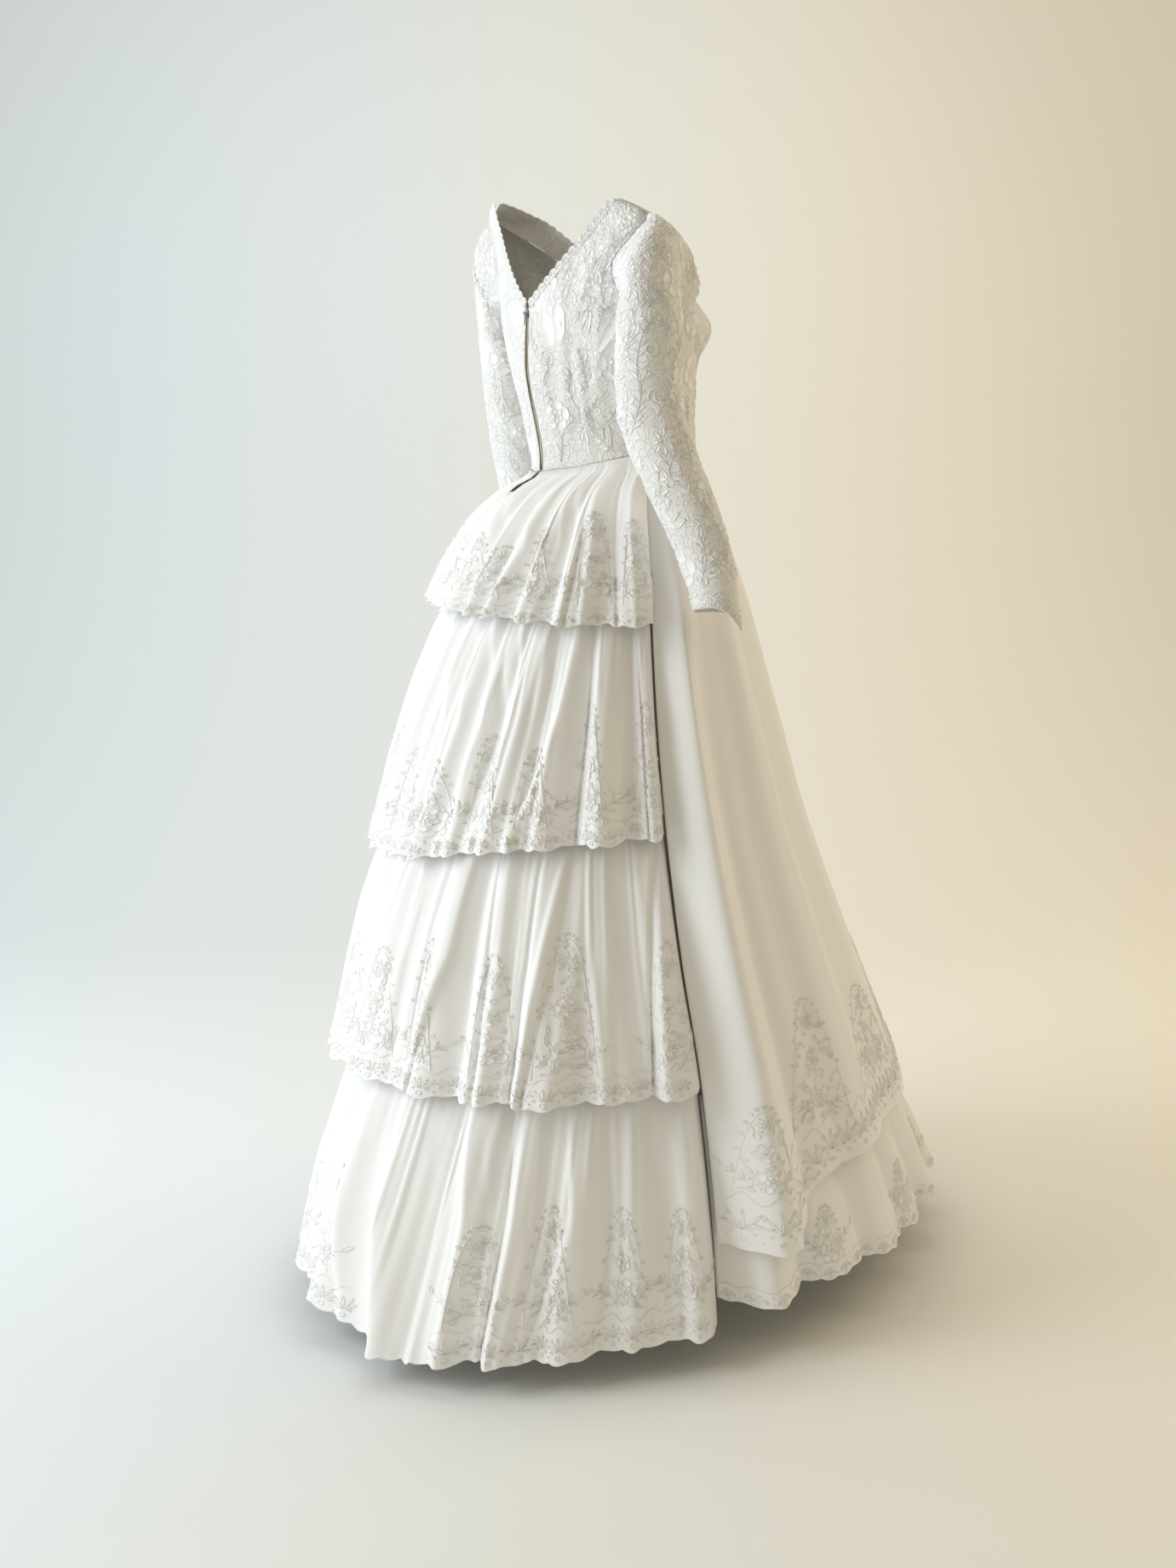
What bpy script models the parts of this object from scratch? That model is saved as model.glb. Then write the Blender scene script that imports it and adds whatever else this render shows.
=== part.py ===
"""Long-sleeved lace wedding gown with a tiered back skirt, hollow as it is worn.

The wearer faces -Y and the wearer's left is +X. Heights in the tables are above the
floor; the part's own origin is between the shoulders, where the wearer holds it up.
A turn is an angle round the skirt: 0 at the centre back, 90 at the wearer's right side,
180 at the centre front.
"""

import math
from collections import namedtuple

import bmesh
import bpy
from mathutils import Vector
from mathutils.bvhtree import BVHTree

SHOULDER_HEIGHT = 1.440  # the origin, at the neck end of the shoulder seams
SEAM_GAP = 0.0003  # between pieces that are sewn together
SHOULDER_SEAM_GAP = 0.0010
CLOTH = 0.0014  # wall of the skirt layers and of the bodice
TAPE = 0.0010

# Bodice
WAIST_HEIGHT = 1.126
BACK_DIP = 0.024  # how far the waist seam drops at the centre back
BACK_V_HEIGHT = 1.309  # the point of the back neckline
FRONT_NECK_HEIGHT = 1.352  # the lowest point of the front neckline
NECK_HALF_WIDTH = 0.136
SHOULDER_TIP_HEIGHT = 1.412
UNDERARM_HEIGHT = 1.294
BACK_ARM_CUT = 34.0  # degrees that the armhole bites into the back
FRONT_ARM_CUT = 40.0
PLACKET_HALF_GAP = 0.0042  # the back edges stand this far from the centre line
PLACKET_PEAK = 0.010  # how far the open back edges stand off the body
PLACKET_SPREAD = 0.032
CUP_HEIGHT = 1.296
CUP_SIDE = 0.078
CUP_SPREAD = 0.040
CUP_RISE = 0.028
SHOULDER_TILT = 0.20  # the wearer's left shoulder is the higher one
LOWER_ROWS = 5
ARM_ROWS = 8
PANEL_COLUMNS = 9

Torso = namedtuple("Torso", "height half_width front_y back_y side_y")
TORSO = (
    Torso(1.085, 0.1150, -0.149, 0.0655, -0.042),
    Torso(1.126, 0.1150, -0.149, 0.0655, -0.042),
    Torso(1.160, 0.1170, -0.146, 0.0720, -0.035),
    Torso(1.205, 0.1250, -0.142, 0.0830, -0.026),
    Torso(1.250, 0.1360, -0.138, 0.0900, -0.014),
    Torso(1.294, 0.1450, -0.140, 0.0940, -0.002),
    Torso(1.335, 0.1500, -0.116, 0.0940, 0.008),
    Torso(1.370, 0.1560, -0.086, 0.0900, 0.016),
    Torso(1.400, 0.1650, -0.056, 0.0840, 0.024),
    Torso(1.412, 0.1690, -0.043, 0.0810, 0.027),
    Torso(1.428, 0.1560, -0.014, 0.0750, 0.043),
    Torso(1.440, 0.1370, 0.008, 0.0690, 0.056),
)

# Sleeves. A section runs from its inner to its outer point; the arms hang unevenly.
ArmSection = namedtuple("ArmSection", "inner_x inner_z outer_x outer_z left_y right_y half_depth")
ARM = (
    ArmSection(0.1530, 1.2900, 0.1830, 1.4085, 0.022, 0.026, 0.0520),
    ArmSection(0.1545, 1.2800, 0.2010, 1.3970, 0.020, 0.032, 0.0500),
    ArmSection(0.1530, 1.2650, 0.2140, 1.3680, 0.015, 0.038, 0.0490),
    ArmSection(0.1530, 1.2380, 0.2250, 1.3260, 0.007, 0.041, 0.0485),
    ArmSection(0.1525, 1.2020, 0.2310, 1.2720, -0.001, 0.043, 0.0485),
    ArmSection(0.1550, 1.1620, 0.2350, 1.2060, -0.010, 0.0445, 0.0465),
    ArmSection(0.1630, 1.1220, 0.2420, 1.1460, -0.022, 0.038, 0.0430),
    ArmSection(0.1770, 1.0720, 0.2510, 1.0920, -0.042, 0.022, 0.0395),
    ArmSection(0.1950, 1.0180, 0.2640, 1.0370, -0.064, 0.004, 0.0360),
    ArmSection(0.2130, 0.9650, 0.2770, 0.9820, -0.084, -0.008, 0.0330),
    ArmSection(0.2250, 0.9230, 0.2860, 0.9330, -0.098, -0.013, 0.0310),
)
CUFF_POINT = 0.030  # how far the cuff's point reaches down over the hand
CUFF_POINT_ANGLE = 40.0  # from the sleeve's outer line towards the front
CUFF_POINT_SPREAD = 55.0

# Skirt. Every layer stands a little off this form, which the underskirt has.
Form = namedtuple("Form", "height half_width half_length centre_y")
SKIRT = (
    Form(1.130, 0.1150, 0.1073, -0.0420),
    Form(1.100, 0.1156, 0.1085, -0.0414),
    Form(1.075, 0.1290, 0.1279, -0.0292),
    Form(1.040, 0.1490, 0.1479, -0.0185),
    Form(0.950, 0.1770, 0.1859, -0.0126),
    Form(0.800, 0.2130, 0.2305, -0.0049),
    Form(0.660, 0.2400, 0.2642, -0.0068),
    Form(0.500, 0.2730, 0.3145, -0.0185),
    Form(0.360, 0.2940, 0.3550, -0.0409),
    Form(0.200, 0.3180, 0.4113, -0.0585),
    Form(0.026, 0.3360, 0.4600, -0.0730),
)
SKIRT_ROWS = (1.126, 1.100, 1.068, 0.958, 0.672, 0.374, 0.200, 0.026)
SIDE_TURN = 76.25  # the seam between the tiered back and the plain front
TURN_STEP = 7.5  # between the underskirt's columns; every layer has a column at each
PLACKET_DEPTH = 0.034  # the zip's slit below the waist seam
PLACKET_TURN = 7.5  # half the underskirt's slit, clear of the zip's teeth

# A hem's height by turn.
Hem = namedtuple("Hem", "turn height")
UNDER_HEM = (
    Hem(0, 0.028),
    Hem(30, 0.032),
    Hem(55, 0.055),
    Hem(80, 0.092),
    Hem(120, 0.096),
    Hem(180, 0.100),
)
HEM_1 = (
    Hem(-78, 0.952),
    Hem(-40, 0.944),
    Hem(-10, 0.926),
    Hem(20, 0.916),
    Hem(45, 0.907),
    Hem(78, 0.905),
)
HEM_2 = (
    Hem(-78, 0.630),
    Hem(-38, 0.624),
    Hem(5, 0.616),
    Hem(30, 0.634),
    Hem(52, 0.644),
    Hem(78, 0.652),
)
HEM_3 = (
    Hem(-78, 0.330),
    Hem(-38, 0.328),
    Hem(0, 0.336),
    Hem(30, 0.338),
    Hem(78, 0.344),
)
HEM_4 = (
    Hem(-78, 0.064),
    Hem(-40, 0.062),
    Hem(-5, 0.056),
    Hem(12, 0.050),
    Hem(30, 0.040),
    Hem(55, 0.040),
    Hem(78, 0.048),
)
FRONT_HEM = (
    Hem(70, 0.160),
    Hem(84, 0.160),
    Hem(96, 0.170),
    Hem(112, 0.192),
    Hem(144, 0.232),
    Hem(180, 0.252),
)
FLOUNCE_HEM = (
    Hem(70, 0.070),
    Hem(100, 0.076),
    Hem(140, 0.074),
    Hem(180, 0.078),
)

# A ridge is one gather: its turn at the layer's top, how far it leans to the hem, its
# half width in degrees and how far its crest stands out at the hem.
Ridge = namedtuple("Ridge", "turn lean half_width rise")
TIER_1_RIDGES = (
    Ridge(-70, 0, 7, 0.010),
    Ridge(-59, -1, 6, 0.013),
    Ridge(-47, -2, 7, 0.016),
    Ridge(-35, -3, 6, 0.012),
    Ridge(-25, -4, 6, 0.015),
    Ridge(-14, -5, 6, 0.014),
    Ridge(-4, -7, 5, 0.012),
    Ridge(9, -8, 6, 0.018),
    Ridge(20, -8, 5, 0.014),
    Ridge(30, -8, 5, 0.016),
    Ridge(41, -7, 5, 0.015),
    Ridge(53, -5, 7, 0.019),
    Ridge(68, -1, 8, 0.015),
)
TIER_2_RIDGES = (
    Ridge(-72, 0, 5, 0.010),
    Ridge(-61, -2, 6, 0.014),
    Ridge(-50, -3, 5, 0.012),
    Ridge(-40, -4, 6, 0.014),
    Ridge(-30, -6, 5, 0.012),
    Ridge(-20, -8, 5, 0.017),
    Ridge(-10, -9, 5, 0.013),
    Ridge(0, -10, 6, 0.020),
    Ridge(11, -11, 5, 0.015),
    Ridge(21, -11, 5, 0.018),
    Ridge(31, -10, 5, 0.014),
    Ridge(41, -9, 6, 0.019),
    Ridge(52, -7, 6, 0.016),
    Ridge(62, -2, 6, 0.021),
    Ridge(73, 0, 5, 0.017),
)
TIER_3_RIDGES = (
    Ridge(-71, 0, 7, 0.014),
    Ridge(-58, -2, 6, 0.016),
    Ridge(-46, -3, 7, 0.014),
    Ridge(-33, -4, 6, 0.018),
    Ridge(-20, -5, 6, 0.018),
    Ridge(-8, -6, 6, 0.022),
    Ridge(6, -7, 7, 0.024),
    Ridge(25, -5, 6, 0.022),
    Ridge(36, -5, 5, 0.018),
    Ridge(47, -3, 7, 0.024),
    Ridge(59, 0, 6, 0.016),
    Ridge(71, 0, 6, 0.022),
)
TIER_4_RIDGES = (
    Ridge(-71, 0, 6, 0.014),
    Ridge(-59, -1, 7, 0.018),
    Ridge(-46, -2, 6, 0.016),
    Ridge(-34, -2, 7, 0.020),
    Ridge(-21, -3, 6, 0.018),
    Ridge(-9, -4, 6, 0.022),
    Ridge(5, -4, 7, 0.028),
    Ridge(34, -5, 6, 0.026),
    Ridge(44, -4, 5, 0.020),
    Ridge(54, -3, 6, 0.022),
    Ridge(64, -1, 6, 0.015),
    Ridge(73, 0, 5, 0.020),
)
FRONT_RIDGES = (
    Ridge(84, 0, 9, 0.040),
    Ridge(107, 2, 8, 0.016),
    Ridge(128, 2, 12, 0.010),
    Ridge(153, 0, 12, 0.009),
    Ridge(180, 0, 14, 0.010),
    Ridge(207, 0, 12, 0.009),
    Ridge(232, -2, 12, 0.010),
    Ridge(254, -2, 8, 0.016),
    Ridge(276, 0, 9, 0.030),
)
FLOUNCE_RIDGES = (
    Ridge(83, 0, 7, 0.034),
    Ridge(97, 0, 6, 0.012),
    Ridge(109, 1, 6, 0.018),
    Ridge(122, 1, 6, 0.014),
    Ridge(136, 2, 7, 0.018),
    Ridge(151, 2, 8, 0.020),
    Ridge(167, 1, 8, 0.018),
    Ridge(184, 0, 8, 0.020),
    Ridge(201, -1, 8, 0.018),
    Ridge(217, -2, 7, 0.020),
    Ridge(232, -2, 7, 0.018),
    Ridge(247, -1, 7, 0.018),
    Ridge(262, 0, 6, 0.014),
    Ridge(276, 0, 7, 0.026),
)

# A layer hangs from the underskirt at its top, and its hem covers the next tier's top.
# It swells off the form by stand_off at the hem, sooner the smaller its swell is.
Layer = namedtuple("Layer", "name top hem stand_off swell top_share rows fullness ridges")
TIERS = (
    Layer("tier_1", WAIST_HEIGHT, HEM_1, 0.023, 0.42, 0.20, 5, 0.85, TIER_1_RIDGES),
    Layer("tier_2", 0.958, HEM_2, 0.024, 0.62, 0.30, 5, 0.72, TIER_2_RIDGES),
    Layer("tier_3", 0.672, HEM_3, 0.029, 0.62, 0.30, 5, 0.68, TIER_3_RIDGES),
    Layer("tier_4", 0.374, HEM_4, 0.024, 0.62, 0.30, 4, 0.85, TIER_4_RIDGES),
)
TIER_STEP = TURN_STEP / 3
FRONT_OVERSKIRT = Layer("front_overskirt", WAIST_HEIGHT, FRONT_HEM, 0.042, 0.65, 0.10, 6, 1, FRONT_RIDGES)
FRONT_FLOUNCE = Layer("front_flounce", 0.330, FLOUNCE_HEM, 0.034, 0.60, 0.20, 3, 1, FLOUNCE_RIDGES)
FRONT_STEP = TURN_STEP / 2
HEM_WAVE = 0.003  # how far a hem lifts between its gathers

# Eyelets in the lace along the lowest tier's hem, one in a cell of its mesh. The plain
# valley between its two largest gathers has none.
EYELET_TURNS = (-73, -68, -63, -58, -53, -48, -43, -38, -33, -28, -23, -18, -13, -8, -3, 2)
EYELET_TURNS += (31, 34, 36, 39, 41, 44, 46, 49, 51, 54, 56, 59, 61, 64, 66, 69, 71)
EYELET_ROW_BOTTOM = 0.012  # above the hem
EYELET_ROW_HEIGHT = 0.016
EYELET_SHARE = 0.36  # of a cell's width and height

# Zip
ZIP_TAPE_WIDTH = 0.0115
ZIP_HALF_TEETH = 0.0007
SLIDER_WIDTH = 0.0058
SLIDER_LENGTH = 0.0090
SLIDER_THICKNESS = 0.0046
LUG_WIDTH = 0.0011
LUG_RISE = 0.0030
PIN_RADIUS = 0.0005
EYE_CLEARANCE = 0.0003
TAB_WIDTH = 0.0026
TAB_LENGTH = 0.0150
TAB_THICKNESS = 0.0010
TAB_EYE_RADIUS = 0.0014

# Edgings
EDGE_LACE = 0.0012
NECK_LACE_INSIDE = 0.009  # how far the neck edging lies over the panel
NECK_LACE_OUTSIDE = 0.0022
SCALLOP = 0.0028
SCALLOPS_PER_ROW = 2


def ease(share):
    """0 to 1 with level ends."""
    share = min(1.0, max(0.0, share))
    return share * share * (3 - 2 * share)


def between(low, high, share):
    return low + (high - low) * share


def along(table, key, column, value):
    """A smooth curve through one column of a table, read at a value of its key column."""
    rows = sorted(table, key=lambda row: getattr(row, key))
    keys = [getattr(row, key) for row in rows]
    values = [getattr(row, column) for row in rows]
    value = min(keys[-1], max(keys[0], value))
    i = next((n for n in range(len(keys) - 2) if value < keys[n + 1]), len(keys) - 2)

    def slope(n):
        low, high = max(0, n - 1), min(len(keys) - 1, n + 1)
        return (values[high] - values[low]) / (keys[high] - keys[low])

    span = keys[i + 1] - keys[i]
    t = (value - keys[i]) / span
    return (
        values[i] * (2 * t**3 - 3 * t**2 + 1)
        + slope(i) * span * (t**3 - 2 * t**2 + t)
        + values[i + 1] * (3 * t**2 - 2 * t**3)
        + slope(i + 1) * span * (t**3 - t**2)
    )


def material(name, colour, roughness, metallic=0.0):
    made = bpy.data.materials.new(name)
    made.use_nodes = True
    shader = made.node_tree.nodes["Principled BSDF"]
    shader.inputs["Base Color"].default_value = (*colour, 1)
    shader.inputs["Roughness"].default_value = roughness
    shader.inputs["Metallic"].default_value = metallic
    return made


def tilted(p):
    """The upper body leans: its left side is raised and its right side lowered."""
    raised = SHOULDER_TILT * p.x / (1 + 2 * abs(p.x)) * ease((p.z - WAIST_HEIGHT - 0.01) / 0.27)
    return Vector((p.x, p.y, p.z + raised))


def new_object(name, mesh, finish):
    mesh.materials.append(finish)
    made = bpy.data.objects.new(name, mesh)
    bpy.context.scene.collection.objects.link(made)
    return made


def cloth_object(name, points, faces, wall, finish):
    """A sheet of cloth given its thickness, half to each side of its points."""
    lowered = [Vector((p[0], p[1], p[2] - SHOULDER_HEIGHT)) for p in points]
    mesh = bpy.data.meshes.new(name)
    mesh.from_pydata(lowered, [], faces)
    work = bmesh.new()
    work.from_mesh(mesh)
    loose = [v for v in work.verts if not v.link_faces]
    bmesh.ops.delete(work, geom=loose, context="VERTS")
    bmesh.ops.triangulate(work, faces=work.faces)
    work.to_mesh(mesh)
    work.free()
    mesh.shade_smooth()
    made = new_object(name, mesh, finish)
    solid = made.modifiers.new("wall", "SOLIDIFY")
    solid.thickness = wall
    solid.offset = 0
    solid.use_even_offset = True
    return made


def grid_faces(rows, columns, closed=False, left_out=(), first=0):
    """Quads of a grid of points stored row by row, without the cells in left_out."""
    around = columns if closed else columns - 1
    faces = []
    for r in range(rows - 1):
        for c in range(around):
            if (r, c) in left_out:
                continue
            a, b = first + r * columns + c, first + r * columns + (c + 1) % columns
            faces.append((a, b, b + columns, a + columns))
    return faces


# The torso's form


def placket_peak(x, height):
    """How far the back stands out where the zip's open edges pull it off the body."""
    window = ease((1.31 - height) / 0.09) * ease((height - 1.0) / 0.10)
    return PLACKET_PEAK * window * math.exp(-((x / PLACKET_SPREAD) ** 2))


def torso_point(angle, height):
    """On the bodice: angle 0 at the centre back, 90 at the wearer's left, 180 in front."""
    turn = math.radians(angle)
    side_y = along(TORSO, "height", "side_y", height)
    reach = "back_y" if math.cos(turn) > 0 else "front_y"
    end_y = along(TORSO, "height", reach, height)
    x = along(TORSO, "height", "half_width", height) * math.sin(turn)
    y = side_y + (end_y - side_y) * abs(math.cos(turn))
    if math.cos(turn) > 0:
        y += placket_peak(x, height)
    else:
        away = math.hypot(abs(x) - CUP_SIDE, height - CUP_HEIGHT) / CUP_SPREAD
        y -= CUP_RISE * math.exp(-away * away) * ease(-2 * math.cos(turn))
    return Vector((x, y, height))


def waist_height(turn):
    """The waist seam's height, lowest at the centre back."""
    return WAIST_HEIGHT - BACK_DIP * max(0.0, math.cos(math.radians(turn))) ** 1.5


def armhole(share, cut, front):
    """(angle, height) on the armhole, from the underarm at 0 to the shoulder tip at 1."""
    bite = cut * math.sin(math.pi * share)
    angle = 90 + bite if front else 90 - bite
    return angle, between(UNDERARM_HEIGHT, SHOULDER_TIP_HEIGHT, ease(share) * 0.3 + share * 0.7)


def neck_angle(x, height, front):
    """The torso angle at which the form is x from the centre line."""
    width = along(TORSO, "height", "half_width", height)
    angle = math.degrees(math.asin(min(1.0, x / width)))
    return 180 - angle if front else angle


def neckline(share, front):
    """(angle, height) on the neckline, from its lowest point at 0 to the shoulder at 1."""
    low = FRONT_NECK_HEIGHT if front else BACK_V_HEIGHT
    start = 0.0 if front else PLACKET_HALF_GAP
    power = 2.1 if front else 1.12
    height = between(low, SHOULDER_HEIGHT, share**power)
    return neck_angle(between(start, NECK_HALF_WIDTH, share), height, front), height


def panel_edges(row, front):
    """(angle, height) of a bodice panel's centre edge and side edge at a row."""
    if row <= LOWER_ROWS:
        share = row / LOWER_ROWS
        top = FRONT_NECK_HEIGHT if front else BACK_V_HEIGHT
        low = waist_height(0) if not front else WAIST_HEIGHT
        height = between(low + SEAM_GAP, top, share)
        centre = (180 if front else neck_angle(PLACKET_HALF_GAP, height, False), height)
        return centre, (90, between(WAIST_HEIGHT + SEAM_GAP, UNDERARM_HEIGHT, share))
    share = (row - LOWER_ROWS) / ARM_ROWS
    cut = FRONT_ARM_CUT if front else BACK_ARM_CUT
    return neckline(share, front), armhole(share, cut, front)


def panel_point(row, column, front):
    """A point of half a bodice panel, from the centre edge to the side edge."""
    centre, side = panel_edges(row, front)
    share = column / PANEL_COLUMNS
    angle = between(centre[0], side[0], share)
    height = between(centre[1], side[1], ease(share) * 0.5 + share * 0.5)
    if row == 0:
        height = waist_height(angle) + SEAM_GAP
    point = torso_point(angle, height)
    if row == LOWER_ROWS + ARM_ROWS:
        point.y += SHOULDER_SEAM_GAP / 2 * (-1 if front else 1)
    return point


def side_seam_shift(point, column, front):
    """Opens the side seam by the seam's gap."""
    if column == PANEL_COLUMNS:
        point.y += SEAM_GAP / 2 * (-1 if front else 1)
    return point


def half_panel(front, sign):
    rows, columns = LOWER_ROWS + ARM_ROWS + 1, PANEL_COLUMNS + 1
    points = []
    for row in range(rows):
        for column in range(columns):
            p = side_seam_shift(panel_point(row, column, front), column, front)
            points.append(Vector((p.x * sign, p.y, p.z)))
    return points, grid_faces(rows, columns)


def build_bodice(finish):
    for name, sign in (("bodice_back_left", 1), ("bodice_back_right", -1)):
        points, faces = half_panel(False, sign)
        cloth_object(name, [tilted(p) for p in points], faces, CLOTH, finish)
    left, faces = half_panel(True, 1)
    right, _ = half_panel(True, -1)
    columns, shared = PANEL_COLUMNS + 1, LOWER_ROWS
    moved = {}
    for row in range(LOWER_ROWS + ARM_ROWS + 1):
        for column in range(columns):
            own = row * columns + column
            joined = column == 0 and row <= shared
            moved[own] = own if joined else own + len(left)
    mirrored = [tuple(moved[i] for i in reversed(face)) for face in faces]
    points = [tilted(p) for p in left + right]
    cloth_object("bodice_front", points, faces + mirrored, CLOTH, finish)


# Sleeves


def armhole_loop(column):
    """A column of the panels round the wearer's left arm: up the back, down the front."""
    back = [panel_point(LOWER_ROWS + n, column, False) for n in range(ARM_ROWS + 1)]
    front = [panel_point(LOWER_ROWS + n, column, True) for n in range(ARM_ROWS + 1)]
    back[-1] = front[-1] = (back[-1] + front[-1]) / 2
    return back + front[-2:0:-1]


def section_point(section, around, left):
    """around 0 is the inner point, 0.25 the back, 0.5 the outer point, 0.75 the front."""
    turn = 2 * math.pi * around
    y = section.left_y if left else section.right_y
    inner = Vector((section.inner_x, y, section.inner_z))
    outer = Vector((section.outer_x, y, section.outer_z))
    centre = (inner + outer) / 2
    back = Vector((0, section.half_depth, 0))
    return centre - (outer - centre) * math.cos(turn) + back * math.sin(turn)


def sleeve_start(left):
    """The sleeve's first ring: the armhole's edge moved clear of the panels' walls."""
    loop, inside = armhole_loop(PANEL_COLUMNS), armhole_loop(PANEL_COLUMNS - 1)
    count = len(loop)
    first = []
    for i, p in enumerate(loop):
        edge = (loop[(i + 1) % count] - loop[i - 1]).normalized()
        away = p - inside[i]
        away = (away - edge * away.dot(edge)).normalized()
        outward = edge.cross(away).normalized()
        if outward.x < 0:
            outward = -outward
        sleeve_way = section_point(ARM[1], i / count, left) - p
        sleeve_way = (sleeve_way - edge * sleeve_way.dot(edge)).normalized()
        sleeve_normal = edge.cross(sleeve_way).normalized()
        lowest = math.cos(2 * math.pi * i / count)
        folded = min(1.0, max(0.0, (0.1 - sleeve_way.dot(away)) * 5, lowest * 1.1))
        aside = away * (SEAM_GAP + 0.0003 + CLOTH / 2 * abs(sleeve_normal.dot(away)))
        first.append(p + aside + outward * (CLOTH + SEAM_GAP + 0.0006) * folded)
    return first


def sleeve_rows(left):
    first = sleeve_start(left)
    count = len(first)
    rows = [first]
    for n, section in enumerate(ARM):
        ring = [section_point(section, i / count, left) for i in range(count)]
        if n < 2:
            share = (0.62, 0.28)[n]
            for i, p in enumerate(ring):
                offset = first[i] - section_point(ARM[0], i / count, left)
                offset.x = 0
                ring[i] = p + offset * share
        if n == len(ARM) - 1:
            for i, p in enumerate(ring):
                away = (i / count - 0.5) * 360 - CUFF_POINT_ANGLE
                p.z -= CUFF_POINT * math.exp(-((away / CUFF_POINT_SPREAD) ** 2))
        rows.append(ring)
    return rows


def build_sleeves(finish):
    for name, sign in (("sleeve_left", 1), ("sleeve_right", -1)):
        rows = sleeve_rows(sign > 0)
        points = [tilted(Vector((p.x * sign, p.y, p.z))) for ring in rows for p in ring]
        faces = grid_faces(len(rows), len(rows[0]), closed=True)
        cloth_object(name, points, faces, CLOTH, finish)


# Skirt


def form_point(turn, height):
    """On the skirt's form."""
    a = math.radians(turn)
    wide = along(SKIRT, "height", "half_width", height)
    long = along(SKIRT, "height", "half_length", height)
    x, y = -wide * math.sin(a), along(SKIRT, "height", "centre_y", height) + long * math.cos(a)
    if math.cos(a) > 0:
        y += placket_peak(x, height)
    return Vector((x, y, height))


def form_outward(turn, height):
    """The level direction straight out of the form."""
    a = math.radians(turn)
    wide = along(SKIRT, "height", "half_width", height)
    long = along(SKIRT, "height", "half_length", height)
    return Vector((-math.sin(a) / wide, math.cos(a) / long, 0)).normalized()


def hem_height(hem, turn):
    """The front's tables and the underskirt's are the same on both sides."""
    if turn > 180:
        turn = 360 - turn
    if hem[0].turn >= 0:
        turn = abs(turn)
    return along(hem, "turn", "height", turn)


def underskirt_point(turn, height):
    """On the underskirt's own flat faces, which the other layers are sewn to."""
    low = math.floor(turn / TURN_STEP) * TURN_STEP
    share = (turn - low) / TURN_STEP
    last = len(SKIRT_ROWS) - 2
    i = next((n for n in range(last) if height >= SKIRT_ROWS[n + 1]), last)
    up = (height - SKIRT_ROWS[i + 1]) / (SKIRT_ROWS[i] - SKIRT_ROWS[i + 1])
    upper = form_point(low, SKIRT_ROWS[i]).lerp(form_point(low + TURN_STEP, SKIRT_ROWS[i]), share)
    lower = form_point(low, SKIRT_ROWS[i + 1]).lerp(form_point(low + TURN_STEP, SKIRT_ROWS[i + 1]), share)
    return lower + (upper - lower) * up


def build_underskirt(finish):
    turns = [-180 + TURN_STEP * n for n in range(round(360 / TURN_STEP))]
    points = []
    for row, level in enumerate(SKIRT_ROWS):
        for turn in turns:
            height = level
            if row == 0:
                height = waist_height(turn) - SEAM_GAP
            if row == len(SKIRT_ROWS) - 1:
                height = hem_height(UNDER_HEM, turn)
            points.append(underskirt_point(turn, height))
    opened = [c for c, turn in enumerate(turns) if -PLACKET_TURN <= turn < PLACKET_TURN]
    slit = {(row, c) for row in (0, 1) for c in opened}
    faces = grid_faces(len(SKIRT_ROWS), len(turns), closed=True, left_out=slit)
    cloth_object("underskirt", points, faces, CLOTH, finish)


def ridge_rise(ridges, turn, down, top_share):
    """How far the gathers stand out at a turn, down being 0 at the top and 1 at the hem."""
    rise = 0.0
    for ridge in ridges:
        centre = ridge.turn + ridge.lean * down
        away = (turn - centre) / (ridge.half_width * 1.15)
        if abs(away) < 1:
            grown = between(top_share, 1.0, down**0.8)
            rise += ridge.rise * grown * (0.5 + 0.5 * math.cos(math.pi * away))
    return rise


def layer_point(layer, turn, down):
    """A point of a layer: sewn flat to the underskirt at its top, off it below."""
    hem = hem_height(layer.hem, turn)
    top = waist_height(turn) - SEAM_GAP if layer.top == WAIST_HEIGHT else layer.top
    rise = ridge_rise(layer.ridges, turn, down, layer.top_share) * layer.fullness
    height = between(top, hem, down) + HEM_WAVE * down * (1 - min(1.0, rise / 0.012))
    sewn = CLOTH + SEAM_GAP + 0.0001
    off = sewn + (layer.stand_off * down**layer.swell + rise) * ease(down * 8)
    return underskirt_point(turn, height) + form_outward(turn, height) * off


def columns_between(low, high, step):
    """Turns at whole steps between two ends, and the ends."""
    inner = [n * step for n in range(math.ceil(low / step), math.floor(high / step) + 1)]
    inner = [turn for turn in inner if low + step * 0.3 < turn < high - step * 0.3]
    return [low] + inner + [high]


def build_tiers(finish):
    for tier in TIERS:
        edge = SIDE_TURN - 0.25
        turns = columns_between(-edge, edge, TIER_STEP)
        downs = [n / tier.rows for n in range(tier.rows + 1)]
        slit = set()
        if tier.name == "tier_1":
            placket = math.degrees(math.asin(PLACKET_HALF_GAP / SKIRT[0].half_width))
            turns = sorted([t for t in turns if abs(t) > placket * 1.3] + [-placket, placket])
            drop = waist_height(0) - hem_height(tier.hem, 0)
            downs = [0, PLACKET_DEPTH / drop] + [n / tier.rows for n in range(2, tier.rows + 1)]
            slit = {(0, turns.index(-placket))}
        if tier.name == "tier_4":
            drop = tier.top - hem_height(tier.hem, 0)
            low = EYELET_ROW_BOTTOM / drop
            downs = downs[:-1] + [1 - low - EYELET_ROW_HEIGHT / drop, 1 - low, 1.0]
        points = [layer_point(tier, turn, down) for down in downs for turn in turns]
        faces = grid_faces(len(downs), len(turns), left_out=slit)
        if tier.name == "tier_4":
            faces = cut_eyelets(points, faces, len(downs) - 3, len(turns), turns)
        cloth_object(tier.name, points, faces, CLOTH, finish)


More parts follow.
